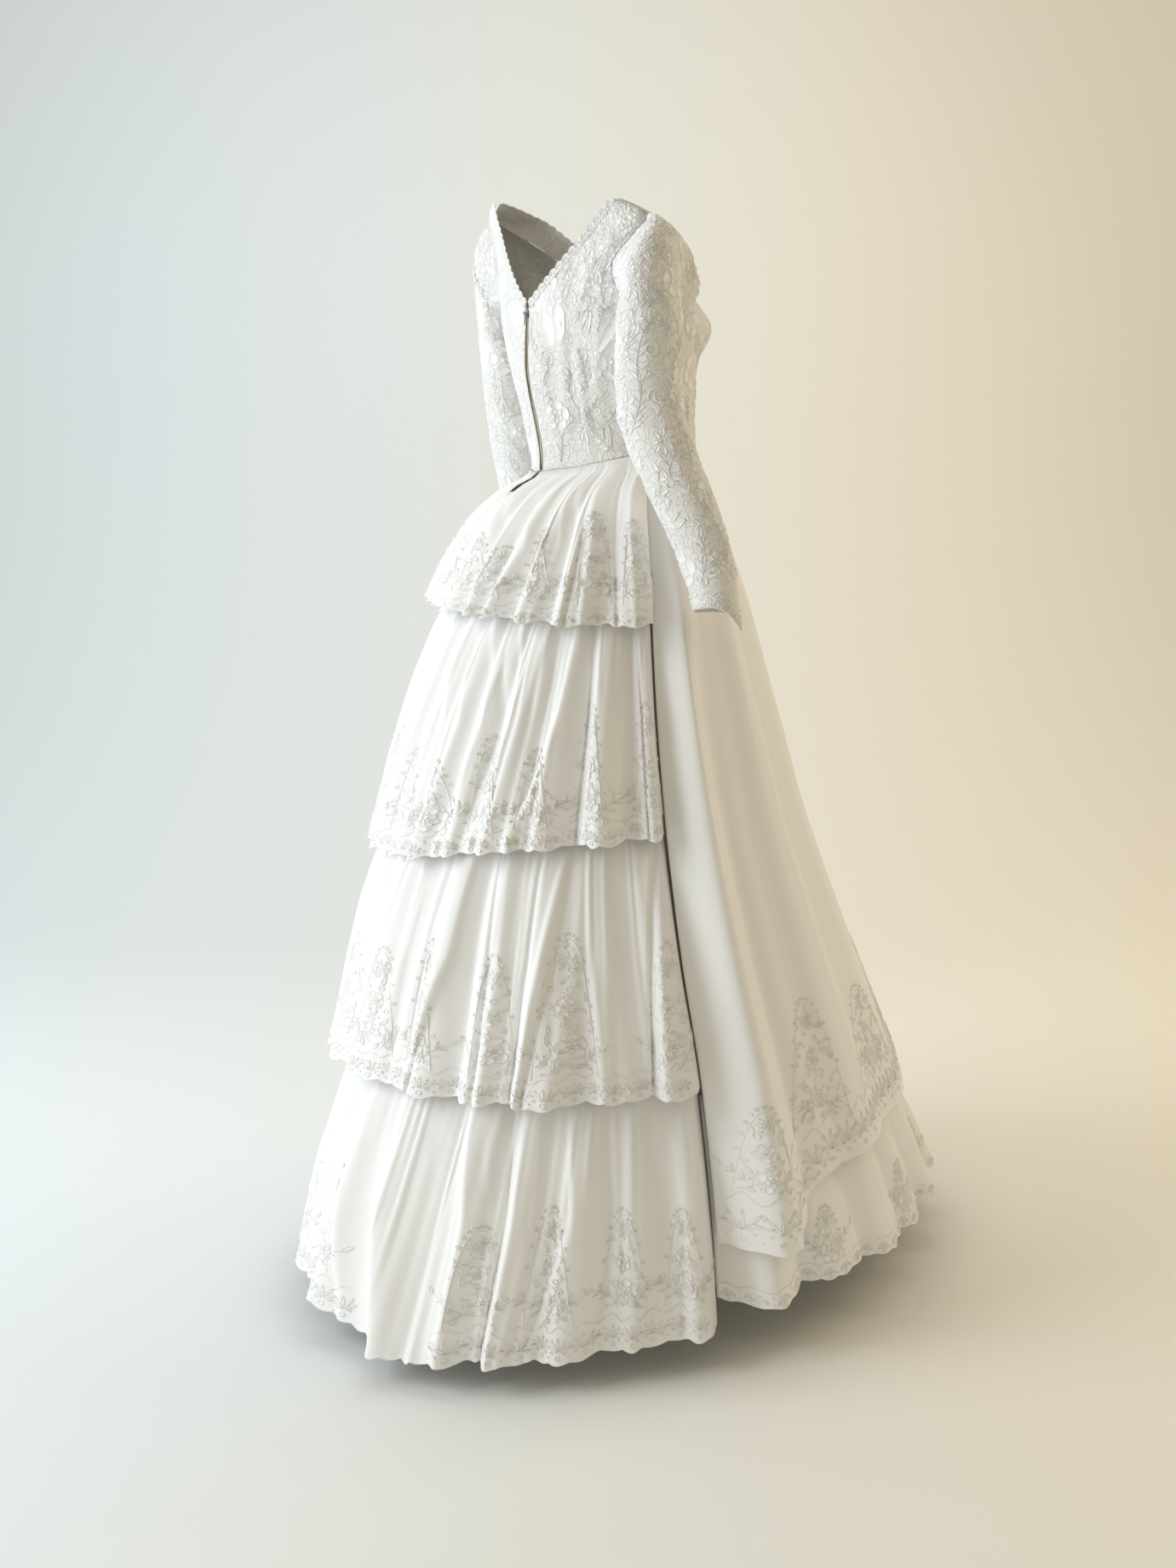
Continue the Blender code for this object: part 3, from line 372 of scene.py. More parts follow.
BACK_CREASES = table_of(
    Crease,
    (1.2, 0.4, 1.0, 4.4, 0.006, 0.0022), (2.2, 0.8, 2.4, 5.6, 0.007, 0.0026),
    (3.5, 0.3, 3.3, 4.2, 0.005, 0.002), (4.4, 1.6, 4.9, 6.0, 0.008, 0.0026),
    (5.8, 0.6, 5.6, 3.6, 0.006, 0.0018), (3.0, 5.0, 5.4, 8.6, 0.007, 0.0016),
    (2.8, 2.2, 3.0, 4.6, 0.004, -0.0014), (7.2, 0.6, 5.6, 2.4, 0.006, 0.0022),
    (7.9, 1.8, 6.4, 4.0, 0.006, 0.0018), (0.8, 0.4, 2.6, 1.6, 0.005, 0.0018),
    (6.6, 4.2, 8.2, 6.2, 0.007, 0.0016),
)
FRONT_CREASES = table_of(
    Crease,
    (1.5, 0.4, 3.0, 3.6, 0.006, 0.0018), (3.1, 0.3, 4.4, 3.4, 0.006, 0.0022),
    (5.2, 0.4, 5.0, 3.2, 0.007, 0.002), (7.0, 0.5, 5.6, 2.8, 0.006, 0.0018),
    (7.6, 3.0, 6.0, 4.4, 0.007, 0.0016), (6.4, 6.6, 7.8, 9.4, 0.007, 0.0016),
    (2.4, 5.6, 4.0, 7.0, 0.008, 0.0012),
)

# A surface gives the points at arrays of u and v; plain is the same without folds, and
# side is 1 where the way of u turned into the way of v gives the outward side.
Surface = namedtuple("Surface", "shape plain low high side")


def lowered(p):
    return p - SHOULDER_HEIGHT * UP


def panel_surface(front, sign):
    """Half a bodice panel: u is its column and v its row."""
    creases = FRONT_CREASES if front else BACK_CREASES

    def plain(u, v):
        p = panel_point(v, u, front)
        p[..., 0] *= sign
        return lowered(tilted(p))

    def shape(u, v):
        p = panel_point(v, u, front)
        outward = level(p * (1, 1, 0))
        shown = ease(u / 0.8) if not front else ease(np.abs(u) / 0.5)
        shown = shown * ease((PANEL_COLUMNS - u) / 0.6) * ease(v / 0.7)
        uneven = 1.0 if sign < 0 else 0.7
        p = p + outward * (crease_rise(creases, u, v, PANEL_STEP) * shown * uneven)[..., None]
        p[..., 0] *= sign
        return lowered(tilted(p))

    top = LOWER_ROWS + ARM_ROWS
    side = sign if front else -sign
    return Surface(shape, plain, (0.0, 0.0), (PANEL_COLUMNS, top), side)


# Sleeves


def section_point(section, around, left):
    """around 0 is the inner point, 0.25 the back, 0.5 the outer point, 0.75 the front."""
    turn = 2 * np.pi * around
    y = section.left_y if left else section.right_y
    inner = np.array((section.inner_x, y, section.inner_z))
    outer = np.array((section.outer_x, y, section.outer_z))
    way = (outer - inner) / 2
    back = np.array((0.0, section.half_depth, 0.0))
    return (inner + outer) / 2 - way * np.cos(turn)[..., None] + back * np.sin(turn)[..., None]


def armhole_point(around, column):
    """On the panels round the left armhole: up the back, then down the front."""
    around = around % 1.0
    up = LOWER_ROWS + 2 * ARM_ROWS * around
    down = LOWER_ROWS + 2 * ARM_ROWS * (1 - around)
    back = panel_point(np.minimum(up, LOWER_ROWS + ARM_ROWS), column, False)
    front = panel_point(np.minimum(down, LOWER_ROWS + ARM_ROWS), column, True)
    return np.where((around <= 0.5)[..., None], back, front)


def dot(a, b):
    return np.sum(a * b, axis=-1, keepdims=True)


def sleeve_start(around, left):
    """The sleeve's first ring: the armhole's edge moved clear of the panels' walls."""
    reach = 1 / (4 * ARM_ROWS)
    column = np.full_like(around, PANEL_COLUMNS)
    p = armhole_point(around, column)
    edge = level(armhole_point(around + reach, column) - armhole_point(around - reach, column))
    away = p - armhole_point(around, column - 0.5)
    away = level(away - edge * dot(away, edge))
    outward = np.cross(edge, away)
    outward = outward * np.where(outward[..., :1] < 0, -1, 1)
    sleeve_way = section_point(ARM[1], around, left) - p
    sleeve_way = level(sleeve_way - edge * dot(sleeve_way, edge))
    lowest = np.cos(2 * np.pi * around)[..., None]
    folded = np.clip(np.maximum((0.1 - dot(sleeve_way, away)) * 5, lowest * 1.1), 0, 1)
    aside = SEAM_GAP + 0.0003 + SHEET_WALL / 2
    return p + away * aside + outward * (SHEET_WALL + SEAM_GAP + 0.0006) * folded


def sleeve_ring(n, around, left):
    if n == 0:
        return sleeve_start(around, left)
    ring = section_point(ARM[n - 1], around, left)
    if n <= 2:
        offset = sleeve_start(around, left) - section_point(ARM[0], around, left)
        ring = ring + offset * (0, 1, 1) * CAP_BLEND[n - 1]
    if n == len(ARM):
        away = ((around % 1.0) - 0.5) * 360 - CUFF_POINT_ANGLE
        ring = ring - (CUFF_POINT * np.exp(-((away / CUFF_POINT_SPREAD) ** 2)))[..., None] * UP
    return ring


# On a sleeve a crease's column is round the arm, in 16ths, and its row down the arm.
SLEEVE_STEP = (0.0165, 0.046)
SLEEVE_CREASES = table_of(
    Crease,
    (1.5, 0.5, 4.5, 2.2, 0.007, 0.0026), (3.0, 1.4, 6.5, 2.9, 0.006, 0.002),
    (13.5, 0.5, 10.6, 2.2, 0.007, 0.0024), (12.5, 1.6, 9.6, 3.0, 0.006, 0.0018),
    (10.5, 4.2, 14.2, 4.9, 0.006, 0.003), (11.0, 4.9, 15.0, 5.3, 0.005, 0.0032),
    (10.2, 5.6, 14.6, 5.9, 0.006, 0.0028), (1.0, 5.0, 4.8, 5.7, 0.006, 0.0022),
    (1.4, 6.2, 5.4, 6.7, 0.006, 0.002), (5.6, 3.2, 6.4, 5.8, 0.007, 0.0018),
    (7.2, 6.4, 6.6, 8.8, 0.006, 0.0016), (11.4, 7.2, 14.2, 7.8, 0.005, 0.0018),
    (2.2, 8.0, 5.6, 8.5, 0.005, 0.0016), (9.0, 9.0, 13.0, 9.5, 0.005, 0.0016),
)


def sleeve_surface(left):
    """u runs once round the arm in 16ths from the underarm, v is the ring, 0 at the armhole."""
    sign = 1 if left else -1
    last = len(ARM)

    def centre_of(v):
        rings = np.arange(last + 1)
        sections = (ARM[0], *ARM)
        x = [s.inner_x + s.outer_x for s in sections]
        y = [s.left_y if left else s.right_y for s in sections]
        z = [s.inner_z + s.outer_z for s in sections]
        return stacked(np.interp(v, rings, x) / 2, np.interp(v, rings, y), np.interp(v, rings, z) / 2)

    def body(u, v):
        u, v = np.broadcast_arrays(np.asarray(u, float), np.asarray(v, float))
        around = (u / 16) % 1.0
        rings = np.stack([sleeve_ring(n, around, left) for n in range(last + 1)])
        low = np.clip(np.floor(v).astype(int), 0, last - 1)
        t = (np.clip(v, 0, last) - low)[..., None]
        place = np.indices(v.shape)
        pick = lambda n: rings[(np.clip(n, 0, last), *place)]
        a, b = pick(low), pick(low + 1)
        slope_a = (b - pick(low - 1)) / np.where(low == 0, 1, 2)[..., None]
        slope_b = (pick(low + 2) - a) / np.where(low == last - 1, 1, 2)[..., None]
        return smooth_run(a, slope_a, b, slope_b, t)

    def placed(p):
        return lowered(tilted(p * (sign, 1, 1)))

    def plain(u, v):
        return placed(body(u, v))

    def shape(u, v):
        p = body(u, v)
        outward = level(p - centre_of(v))
        column = np.asarray(u, float) % 16
        rise = crease_rise(SLEEVE_CREASES, column, v, SLEEVE_STEP)
        rise = rise * ease(v / 0.8) * ease((last - v) / 0.5)
        return placed(p + outward * rise[..., None])

    return Surface(shape, plain, (-FOREVER, 0.0), (FOREVER, last), sign)


# Skirt


def form_point(turn, height):
    """On the skirt's form."""
    a = np.radians(turn)
    wide = along(SKIRT, "height", "half_width", height)
    long = along(SKIRT, "height", "half_length", height)
    x = -wide * np.sin(a)
    y = along(SKIRT, "height", "centre_y", height) + long * np.cos(a)
    y = y + np.where(np.cos(a) > 0, placket_peak(x, height), 0)
    return stacked(x, y, height)


def form_outward(turn, height):
    """The level direction straight out of the form."""
    a = np.radians(turn)
    wide = along(SKIRT, "height", "half_width", height)
    long = along(SKIRT, "height", "half_length", height)
    return level(stacked(-np.sin(a) / wide, np.cos(a) / long, 0.0))


def hem_height(hem, turn):
    """The front's tables and the underskirt's are the same on both sides."""
    turn = np.where(turn > 180, 360 - turn, turn)
    if hem[0].turn >= 0:
        turn = np.abs(turn)
    return along(hem, "turn", "height", turn)


RIDGE_SPREAD = 1.15
FRONT_LEAN = 0.35  # metres that a fold leans for each metre that it stands out
BACK_LEAN = 0.85
FAR_LEAN = 0.60
LEAN_PARTS = -28  # the turn on the back where the folds fall apart to both sides


def fold_lean(layer, turn):
    """Which way a fold falls over: to the left of the back, less so on the front."""
    if layer.name.startswith("front"):
        return np.where(turn < 180, -FRONT_LEAN, FRONT_LEAN)
    return np.where(turn > LEAN_PARTS, -BACK_LEAN, FAR_LEAN)


def folds(layer, turn, down):
    """(rise, shift): how far the gathers stand out, and lean along the skirt."""
    rise, shift = 0.0, 0.0
    for ridge in layer.ridges:
        away = (turn - ridge.turn - ridge.lean * down) / (ridge.half_width * RIDGE_SPREAD)
        own = ridge.rise * between(layer.top_share, 1.0, down**0.8) * bump(away) * layer.fullness
        rise = rise + own
        shift = shift + own * fold_lean(layer, np.asarray(ridge.turn))
    return rise, shift


# The fine folds between a layer's gathers: how many, and the range of their half width in
# degrees and of their rise. They are spread unevenly from a fixed seed.
FineFolds = namedtuple("FineFolds", "count seed narrow wide low high")
FINE_FOLDS = {
    "tier_1": FineFolds(64, 11, 0.7, 1.7, 0.0006, 0.0024),
    "tier_2": FineFolds(72, 22, 0.7, 1.6, 0.0006, 0.0026),
    "tier_3": FineFolds(64, 33, 0.7, 1.8, 0.0006, 0.0028),
    "tier_4": FineFolds(64, 44, 0.6, 1.7, 0.0006, 0.0030),
    "front_overskirt": FineFolds(34, 55, 1.0, 3.0, 0.0004, 0.0014),
    "front_flounce": FineFolds(60, 66, 0.9, 2.2, 0.0006, 0.0022),
}


def fine_folds(layer, turn, down):
    """How far the fine folds stand out; each starts, sways and ends on its own."""
    plan = FINE_FOLDS[layer.name]
    chance = np.random.default_rng(plan.seed)
    turns = [ridge.turn for ridge in layer.ridges]
    leans = [ridge.lean for ridge in layer.ridges]
    first, span = turns[0] - 6, turns[-1] - turns[0] + 12
    rise = 0.0
    for n in range(plan.count):
        centre = first + span * (n + chance.uniform(-0.4, 0.4)) / plan.count
        half = chance.uniform(plan.narrow, plan.wide)
        own = chance.uniform(plan.low, plan.high)
        reach = chance.uniform(0.35, 1.25)
        start = chance.choice((-0.1, -0.1, -0.1, 0.25, 0.45))
        sway = chance.uniform(-1.2, 1.2)
        lean = np.interp(centre, turns, leans)
        away = turn - centre - lean * down - sway * np.sin(3 * down + n)
        away = away / (half * (1 + FINE_FOLD_SPREAD * down))
        rise = rise + own * bump(away) * ease((down - start) * 8) * ease((start + reach - down) * 3)
    return rise


SCALLOP_TURNS = {"tier_1": 7.0, "tier_2": 5.2, "tier_3": 4.2, "tier_4": 3.6}
SCALLOP_TURNS.update({"front_overskirt": 4.0, "front_flounce": 3.4})
SCALLOP_DEPTH = 0.0034


# The main folds as they hang, one to a row: its turn near the layer's top, half way
# and near its hem, how far it stands out (or in, where negative), how many degrees its
# flanks to the left and right take, and how far down it starts.
Fold = namedtuple("Fold", "top middle hem rise left right start")
MAIN_FOLDS = {
    "tier_1": table_of(
        Fold,
        (-62, -64, -65, 0.005, 3.0, 1.2, 0.1), (-50, -52, -54, 0.006, 3.4, 1.1, 0.0),
        (-38, -39, -42, 0.005, 2.8, 1.0, 0.1), (-24, -26, -30, 0.006, 3.0, 1.1, 0.0),
        (-11, -10, -14, 0.0045, 1.2, 2.6, 0.1), (-3, 3, -4, 0.004, 1.0, 2.6, 0.2),
        (2, 9, 4, 0.004, 1.0, 2.6, 0.2), (7, 15, 13.5, 0.006, 0.9, 3.4, 0.1),
        (20, 28.5, 21, 0.0055, 0.8, 3.4, 0.0), (35, 33.5, 30, 0.008, 0.7, 3.2, 0.0),
        (38, 41, 36.5, 0.0035, 0.6, 1.4, 0.1), (41, 47, 43.5, 0.007, 0.7, 3.2, 0.0),
        (49, 50.5, 49.0, -0.005, 1.0, 1.0, 0.2), (51, 53.5, 52.5, 0.0065, 0.8, 5.0, 0.1),
        (61, 62, 64.5, -0.0055, 1.6, 2.2, 0.1), (67, 68.5, 69.5, 0.0045, 0.9, 4.0, 0.2),
    ),
    "tier_2": table_of(
        Fold,
        (-66, -66, -68, 0.005, 3.0, 1.0, 0.0), (-53, -55, -56, 0.0065, 3.2, 0.9, 0.0),
        (-43, -42, -46, 0.0045, 2.6, 0.9, 0.2), (-31, -34, -36, 0.0065, 3.0, 0.8, 0.0),
        (-22, -20, -25, -0.006, 1.3, 1.3, 0.0), (-14, -14, -20, 0.005, 1.0, 2.4, 0.1),
        (-3, -3, -9, 0.0055, 1.0, 3.0, 0.0), (6, 9.5, 3, 0.005, 0.8, 2.8, 0.0),
        (12, 18, 10, 0.0035, 0.7, 2.2, 0.1), (20, 26, 15, 0.0065, 0.7, 3.0, 0.0),
        (26, 30, 23, -0.005, 1.0, 1.2, 0.2), (31, 35, 25.5, 0.0065, 0.6, 2.2, 0.0),
        (37, 37.5, 31.5, 0.0035, 0.5, 1.4, 0.2), (42, 40.5, 36, 0.005, 0.6, 2.2, 0.0),
        (46, 43.5, 39, 0.0025, 0.5, 1.2, 0.0), (51.5, 48, 36.5, 0.0085, 0.6, 4.0, 0.0),
        (55.5, 55, 52, -0.0085, 1.0, 1.0, 0.0), (58, 57.5, 54, 0.0075, 0.7, 4.4, 0.0),
        (67.5, 67.5, 65.5, -0.007, 1.8, 2.4, 0.0), (70.5, 71.5, 71.5, -0.006, 0.5, 0.6, 0.2),
    ),
    "tier_3": table_of(
        Fold,
        (-66, -68, -68, 0.0065, 3.4, 1.0, 0.0), (-53, -51, -54, 0.008, 3.4, 0.8, 0.0),
        (-45, -44, -47, -0.0065, 1.2, 1.6, 0.0), (-36, -38, -40, 0.006, 2.8, 0.9, 0.1),
        (-22, -20, -24, 0.0075, 3.2, 0.8, 0.0), (-10, -12, -16, 0.005, 1.0, 2.6, 0.1),
        (-2, -3, -7, 0.0055, 0.9, 2.8, 0.0), (10, 8.5, 4, 0.007, 0.7, 3.6, 0.0),
        (17, 15, 10, 0.0025, 0.6, 1.4, 0.2), (26, 24.5, 15.5, 0.0085, 3.6, 0.8, 0.0),
        (30, 29, 26.5, -0.008, 2.4, 2.8, 0.0), (33, 34.2, 32, -0.006, 0.6, 0.7, 0.0),
        (36.5, 36, 33, 0.0085, 0.7, 4.0, 0.0), (40.5, 39.5, 36.5, 0.0025, 0.4, 0.9, 0.0),
        (44.5, 43, 38.2, -0.0065, 0.9, 0.8, 0.0), (50, 45.5, 40, 0.0105, 0.55, 1.6, 0.0),
        (51.6, 48.3, 42.5, -0.004, 0.6, 0.8, 0.0), (54.5, 52, 47, 0.0075, 1.4, 2.4, 0.0),
        (61.5, 62, 60, -0.005, 1.8, 2.2, 0.0), (72.5, 69.6, 66, -0.0095, 0.9, 0.8, 0.0),
        (74, 71.2, 67.8, 0.006, 0.5, 2.6, 0.0),
    ),
    "tier_4": table_of(
        Fold,
        (-66, -66, -67, 0.007, 3.6, 0.9, 0.0), (-54, -52, -55, 0.0085, 3.6, 0.8, 0.0),
        (-44, -46, -48, -0.007, 1.4, 1.6, 0.0), (-38, -36, -38, 0.006, 2.8, 0.8, 0.1),
        (-28, -28, -30, 0.007, 0.9, 2.8, 0.0), (-17, -19, -20, 0.006, 0.8, 2.6, 0.1),
        (-8, -9, -8, 0.0075, 0.8, 2.6, 0.0), (-2, -4, -2, -0.006, 0.9, 0.9, 0.1),
        (5, 3, 7, 0.008, 0.8, 2.4, 0.0), (14.5, 13.5, 18, 0.04, 2.8, 7.0, 0.0),
        (28.5, 30.5, 29, -0.008, 2.4, 1.2, 0.0), (30.6, 33.2, 31.4, 0.012, 0.6, 4.4, 0.0),
        (34.5, 36.6, 35.5, 0.0025, 0.4, 1.0, 0.1), (38.4, 39.8, 37.2, -0.008, 0.9, 0.9, 0.0),
        (41.6, 41.6, 38.8, 0.0095, 0.6, 2.6, 0.0), (45.0, 44.6, 41.0, 0.003, 0.4, 1.0, 0.0),
        (48.2, 46.5, 43.2, 0.0045, 0.5, 1.2, 0.0), (50.0, 52.0, 44.4, 0.006, 0.5, 2.6, 0.0),
        (57.6, 58.0, 55.0, -0.0055, 1.2, 1.2, 0.0), (65.6, 66.2, 64.0, -0.0085, 1.8, 2.0, 0.0),
        (70.0, 71.0, 71.0, 0.0045, 1.2, 2.6, 0.1),
    ),
    "front_overskirt": table_of(
        Fold,
        (84, 86, 87.5, 0.011, 4.5, 0.9, 0.1), (88, 91, 93.0, -0.008, 1.0, 3.0, 0.2),
        (112, 113, 114, 0.005, 2.0, 5.0, 0.3), (138, 140, 141, 0.0045, 4.0, 2.0, 0.3),
        (170, 168, 166, 0.004, 3.0, 4.0, 0.3), (205, 208, 210, 0.005, 4.0, 2.4, 0.3),
        (243, 241, 240, 0.005, 2.4, 4.0, 0.3), (275, 273, 272, 0.009, 1.0, 4.5, 0.1),
    ),
    "front_flounce": table_of(
        Fold,
        (80.5, 80.8, 81, -0.01, 0.8, 0.8, 0.0), (89, 90, 91, -0.008, 1.4, 1.4, 0.0),
        (99, 101, 103, 0.008, 3.0, 0.8, 0.0), (112, 114, 116, 0.009, 3.6, 0.8, 0.0),
        (127, 128, 131, -0.006, 1.6, 2.0, 0.1), (146, 148, 151, 0.008, 3.6, 1.0, 0.0),
        (170, 169, 168, -0.006, 1.8, 1.6, 0.1), (188, 190, 193, 0.0075, 3.4, 1.0, 0.0),
        (212, 210, 208, 0.0085, 1.0, 3.6, 0.0), (238, 238, 236, 0.007, 1.0, 3.2, 0.1),
        (258, 257, 256, -0.007, 1.4, 1.6, 0.0), (271, 270, 269, 0.008, 0.9, 3.0, 0.0),
    ),
}


def main_folds(layer, turn, down):
    """How far the listed folds stand out: sharp at the crest, softer down a flank."""
    rise = 0.0
    for fold in MAIN_FOLDS[layer.name]:
        turns = (fold.top, fold.top, fold.middle, fold.hem, fold.hem)
        away = turn - np.interp(down, (0.0, 0.12, 0.5, 0.95, 1.0), turns)
        if fold.rise < 0:
            shape = np.exp(-((away / np.where(away < 0, fold.left, fold.right)) ** 2))
        else:
            steep, soft = min(fold.left, fold.right), max(fold.left, fold.right)
            width = np.where(away < 0, fold.left, fold.right)
            rounded = np.exp(-((away / width) ** 2))
            leaning = np.exp(-np.sqrt((away / width) ** 2 + (steep / soft) ** 2) + steep / soft)
            shape = np.where(width == steep, rounded, leaning)
        grown = between(0.35, 1.0, ease(down * 1.1)) * ease((down - fold.start) * 6)
        rise = rise + fold.rise * shape * grown
    return rise


# How much of a layer's fullness is left at its side edges, and over how many degrees it
# comes back. The tiers are caught down to the underskirt there; the front ones go behind.
EDGE_KEPT = {"front_overskirt": 0.34, "front_flounce": 0.12}
EDGE_TURNS = 9.0
TIER_EDGE_KEPT = 0.34
TIER_EDGE_TURNS = 2.6


def tucked(layer, turn):
    """A layer's share of fullness: its side edges are drawn in."""
    if layer.name not in EDGE_KEPT:
        inside = ease((SIDE_TURN - np.abs(turn)) / TIER_EDGE_TURNS) ** 0.6
        return between(TIER_EDGE_KEPT, 1.0, inside)
    inside = np.minimum(turn - SIDE_TURN, 360 - SIDE_TURN - turn)
    return between(EDGE_KEPT[layer.name], 1.0, ease(inside / EDGE_TURNS))


def layer_length(layer):
    return layer.top - hem_height(layer.hem, np.array(float(layer.ridges[0].turn)))


def layer_surface(layer):
    """u is the turn, v 0 at the layer's top and 1 at its hem."""
    sewn = CLOTH + SEAM_GAP + 0.0001

    def height_at(turn, down):
        hem = hem_height(layer.hem, turn)
        top = waist_height(turn) - SEAM_GAP if layer.top == WAIST_HEIGHT else layer.top
        scallop = np.abs(np.cos(np.pi * turn / SCALLOP_TURNS[layer.name]))
        lifted = SCALLOP_DEPTH * (1 - scallop) * ease((down - 0.86) / 0.14)
        return between(top, hem, down) + lifted

    def plain(turn, down):
        height = between(layer.top, hem_height(layer.hem, turn), down)
        off = sewn + layer.stand_off * np.maximum(down, 0) ** layer.swell * ease(down * 8)
        return lowered(form_point(turn, height) + form_outward(turn, height) * off[..., None])

    def shape(turn, down):
        turn, down = np.broadcast_arrays(np.asarray(turn, float), np.asarray(down, float))
        down = np.clip(down, 0, 1)
        rise, shift = folds(layer, turn, down)
        height = height_at(turn, down) + HEM_WAVE * down * (1 - np.minimum(1.0, rise / 0.012))
        rise = rise + fine_folds(layer, turn, down) + main_folds(layer, turn, down)
        from_hem = (1 - down) * layer_length(layer)
        rise = rise + ROLLED_HEM * np.exp(-((from_hem / 0.0014) ** 2))
        off = sewn + (layer.stand_off * down**layer.swell + rise) * ease(down * 8) * tucked(layer, turn)
        outward = form_outward(turn, height)
        sideways = np.cross(UP, outward) * (shift * ease(down * 5))[..., None]
        return lowered(form_point(turn, height) + outward * off[..., None] + sideways)

    edge = SIDE_TURN - SIDE_GAP
    low = (-edge, 0.0) if layer in TIERS else (SIDE_TURN + SIDE_GAP, 0.0)
    high = (edge, 1.0) if layer in TIERS else (360 - SIDE_TURN - SIDE_GAP, 1.0)
    return Surface(shape, plain, low, high, -1)


UNDERSKIRT_RIPPLE = 0.0016  # how far its soft waves swing, all inside the form
UNDERSKIRT_WAVES = 11


def underskirt_surface():
    """u is the turn, v 0 at the waist and 1 at the hem."""

    def shape(turn, down):
        top = waist_height(turn) - SEAM_GAP
        height = between(top, hem_height(UNDER_HEM, turn), down)
        ripple = UNDERSKIRT_RIPPLE * np.sin(np.radians(turn * UNDERSKIRT_WAVES)) * ease(down * 3)
        inside = (UNDERSKIRT_RIPPLE + ripple)[..., None]
        return lowered(form_point(turn, height) - form_outward(turn, height) * inside)

    return Surface(shape, shape, (-FOREVER, 0.0), (FOREVER, 1.0), -1)


# Lace: raised corded shapes in metres, x to the right and y up, laid on a surface
Shape = namedtuple("Shape", "points rises faces")  # faces are triangles

LEAF_POINTS = 8
CORD_HEIGHT = 0.0013
# The raised edge of a petal or leaf: how far in, and the share of its height.
RIM = ((0.0, 0.0), (0.00055, 1.0), (0.0012, 0.45))
CENTRE_RISE = 0.55


def joined(shapes):
    """One shape from several."""
    counts = np.cumsum([0] + [len(s.points) for s in shapes])
    return Shape(
        np.concatenate([s.points for s in shapes]),
        np.concatenate([s.rises for s in shapes]),
        np.concatenate([s.faces + n for s, n in zip(shapes, counts)]),
    )


def moved(shape, x=0.0, y=0.0, turn=0.0, size=1.0, mirrored=False):
    """A copy set at (x, y), turned anticlockwise in degrees, and sized."""
    a = math.radians(turn)
    points = shape.points * size * ((-1, 1) if mirrored else (1, 1))
    points = points @ np.array(((math.cos(a), math.sin(a)), (-math.sin(a), math.cos(a))))
    faces = shape.faces[:, ::-1] if mirrored else shape.faces
    return Shape(points + (x, y), shape.rises, faces)


def relief(outline, height=CORD_HEIGHT, filled=True):
    """A raised rim along a closed outline, drawn anticlockwise, round a lower middle."""
    centre = outline.mean(axis=0)
    reach = np.linalg.norm(outline - centre, axis=1, keepdims=True)
    count = len(outline)
    points = [centre + (outline - centre) * np.maximum(1 - inset / reach, 0.12) for inset, _ in RIM]
    rises = [np.full(count, share * height) for _, share in RIM]
    if not filled:
        rises[-1] = np.zeros(count)
    here = np.arange(count)
    after = (here + 1) % count
    faces = []
    for ring in range(len(RIM) - 1):
        outer, inner = ring * count, (ring + 1) * count
        faces.append(np.stack([outer + here, outer + after, inner + after], 1))
        faces.append(np.stack([outer + here, inner + after, inner + here], 1))
    if filled:
        points.append(centre[None])
        rises.append(np.array([height * CENTRE_RISE]))
        inner = (len(RIM) - 1) * count
        faces.append(np.stack([inner + here, inner + after, np.full(count, len(RIM) * count)], 1))
    return Shape(np.concatenate(points), np.concatenate(rises), np.concatenate(faces))


def leaf(length, width, taper=0.55, count=LEAF_POINTS):
    """Grows up from (0, 0); taper draws its tip to a point, a negative one rounds it."""
    a = 2 * np.pi * np.arange(count) / count
    up = 0.5 - 0.5 * np.cos(a)
    return relief(np.stack([width / 2 * np.sin(a) * (1 - taper * up), length * up], 1))


def disc(radius, filled=True, count=8, height=CORD_HEIGHT):
    a = 2 * np.pi * np.arange(count) / count
    return relief(np.stack([np.cos(a), np.sin(a)], 1) * radius, height, filled)


def cord(path, width=0.0012, height=CORD_HEIGHT):
    """A raised cord along an open path."""
    path = np.asarray(path, float)
    way = np.gradient(path, axis=0)
    way = way / np.maximum(np.linalg.norm(way, axis=1, keepdims=True), 1e-9)
    left = np.stack([-way[:, 1], way[:, 0]], 1) * width / 2
    count = len(path)
    here = np.arange(count - 1)
    right, middle, far = here, here + count, here + 2 * count
    faces = [(right, right + 1, middle + 1), (right, middle + 1, middle)]
    faces += [(middle, middle + 1, far + 1), (middle, far + 1, far)]
    rises = np.concatenate([np.zeros(count), np.full(count, height), np.zeros(count)])
    points = np.concatenate([path - left, path, path + left])
    return Shape(points, rises, np.concatenate([np.stack(f, 1) for f in faces]))


def ring_of(shape, count, radius=0.0, start=0.0):
    """Copies round a centre, each growing outwards from radius."""
    made = []
    for n in range(count):
        turn = start + 360 * n / count
        a = math.radians(turn)
        made.append(moved(shape, -radius * math.sin(a), radius * math.cos(a), turn))
    return made


def scattered(low, high, spacing, seed, jitter=0.28):
    """Spots over a rectangle in uneven staggered rows, (x, y, a number from 0 to 1)."""
    chance = np.random.default_rng(seed)
    rows = max(1, round((high[1] - low[1]) / (spacing * 0.87)))
    columns = max(1, round((high[0] - low[0]) / spacing))
    made = []
    for r in range(rows):
        for c in range(columns):
            x = (c + 0.5 + (0.25 if r % 2 else -0.25) + chance.uniform(-jitter, jitter)) / columns
            y = (r + 0.5 + chance.uniform(-jitter, jitter)) / rows
            made.append((between(low[0], high[0], x), between(low[1], high[1], y), chance.random()))
    return made


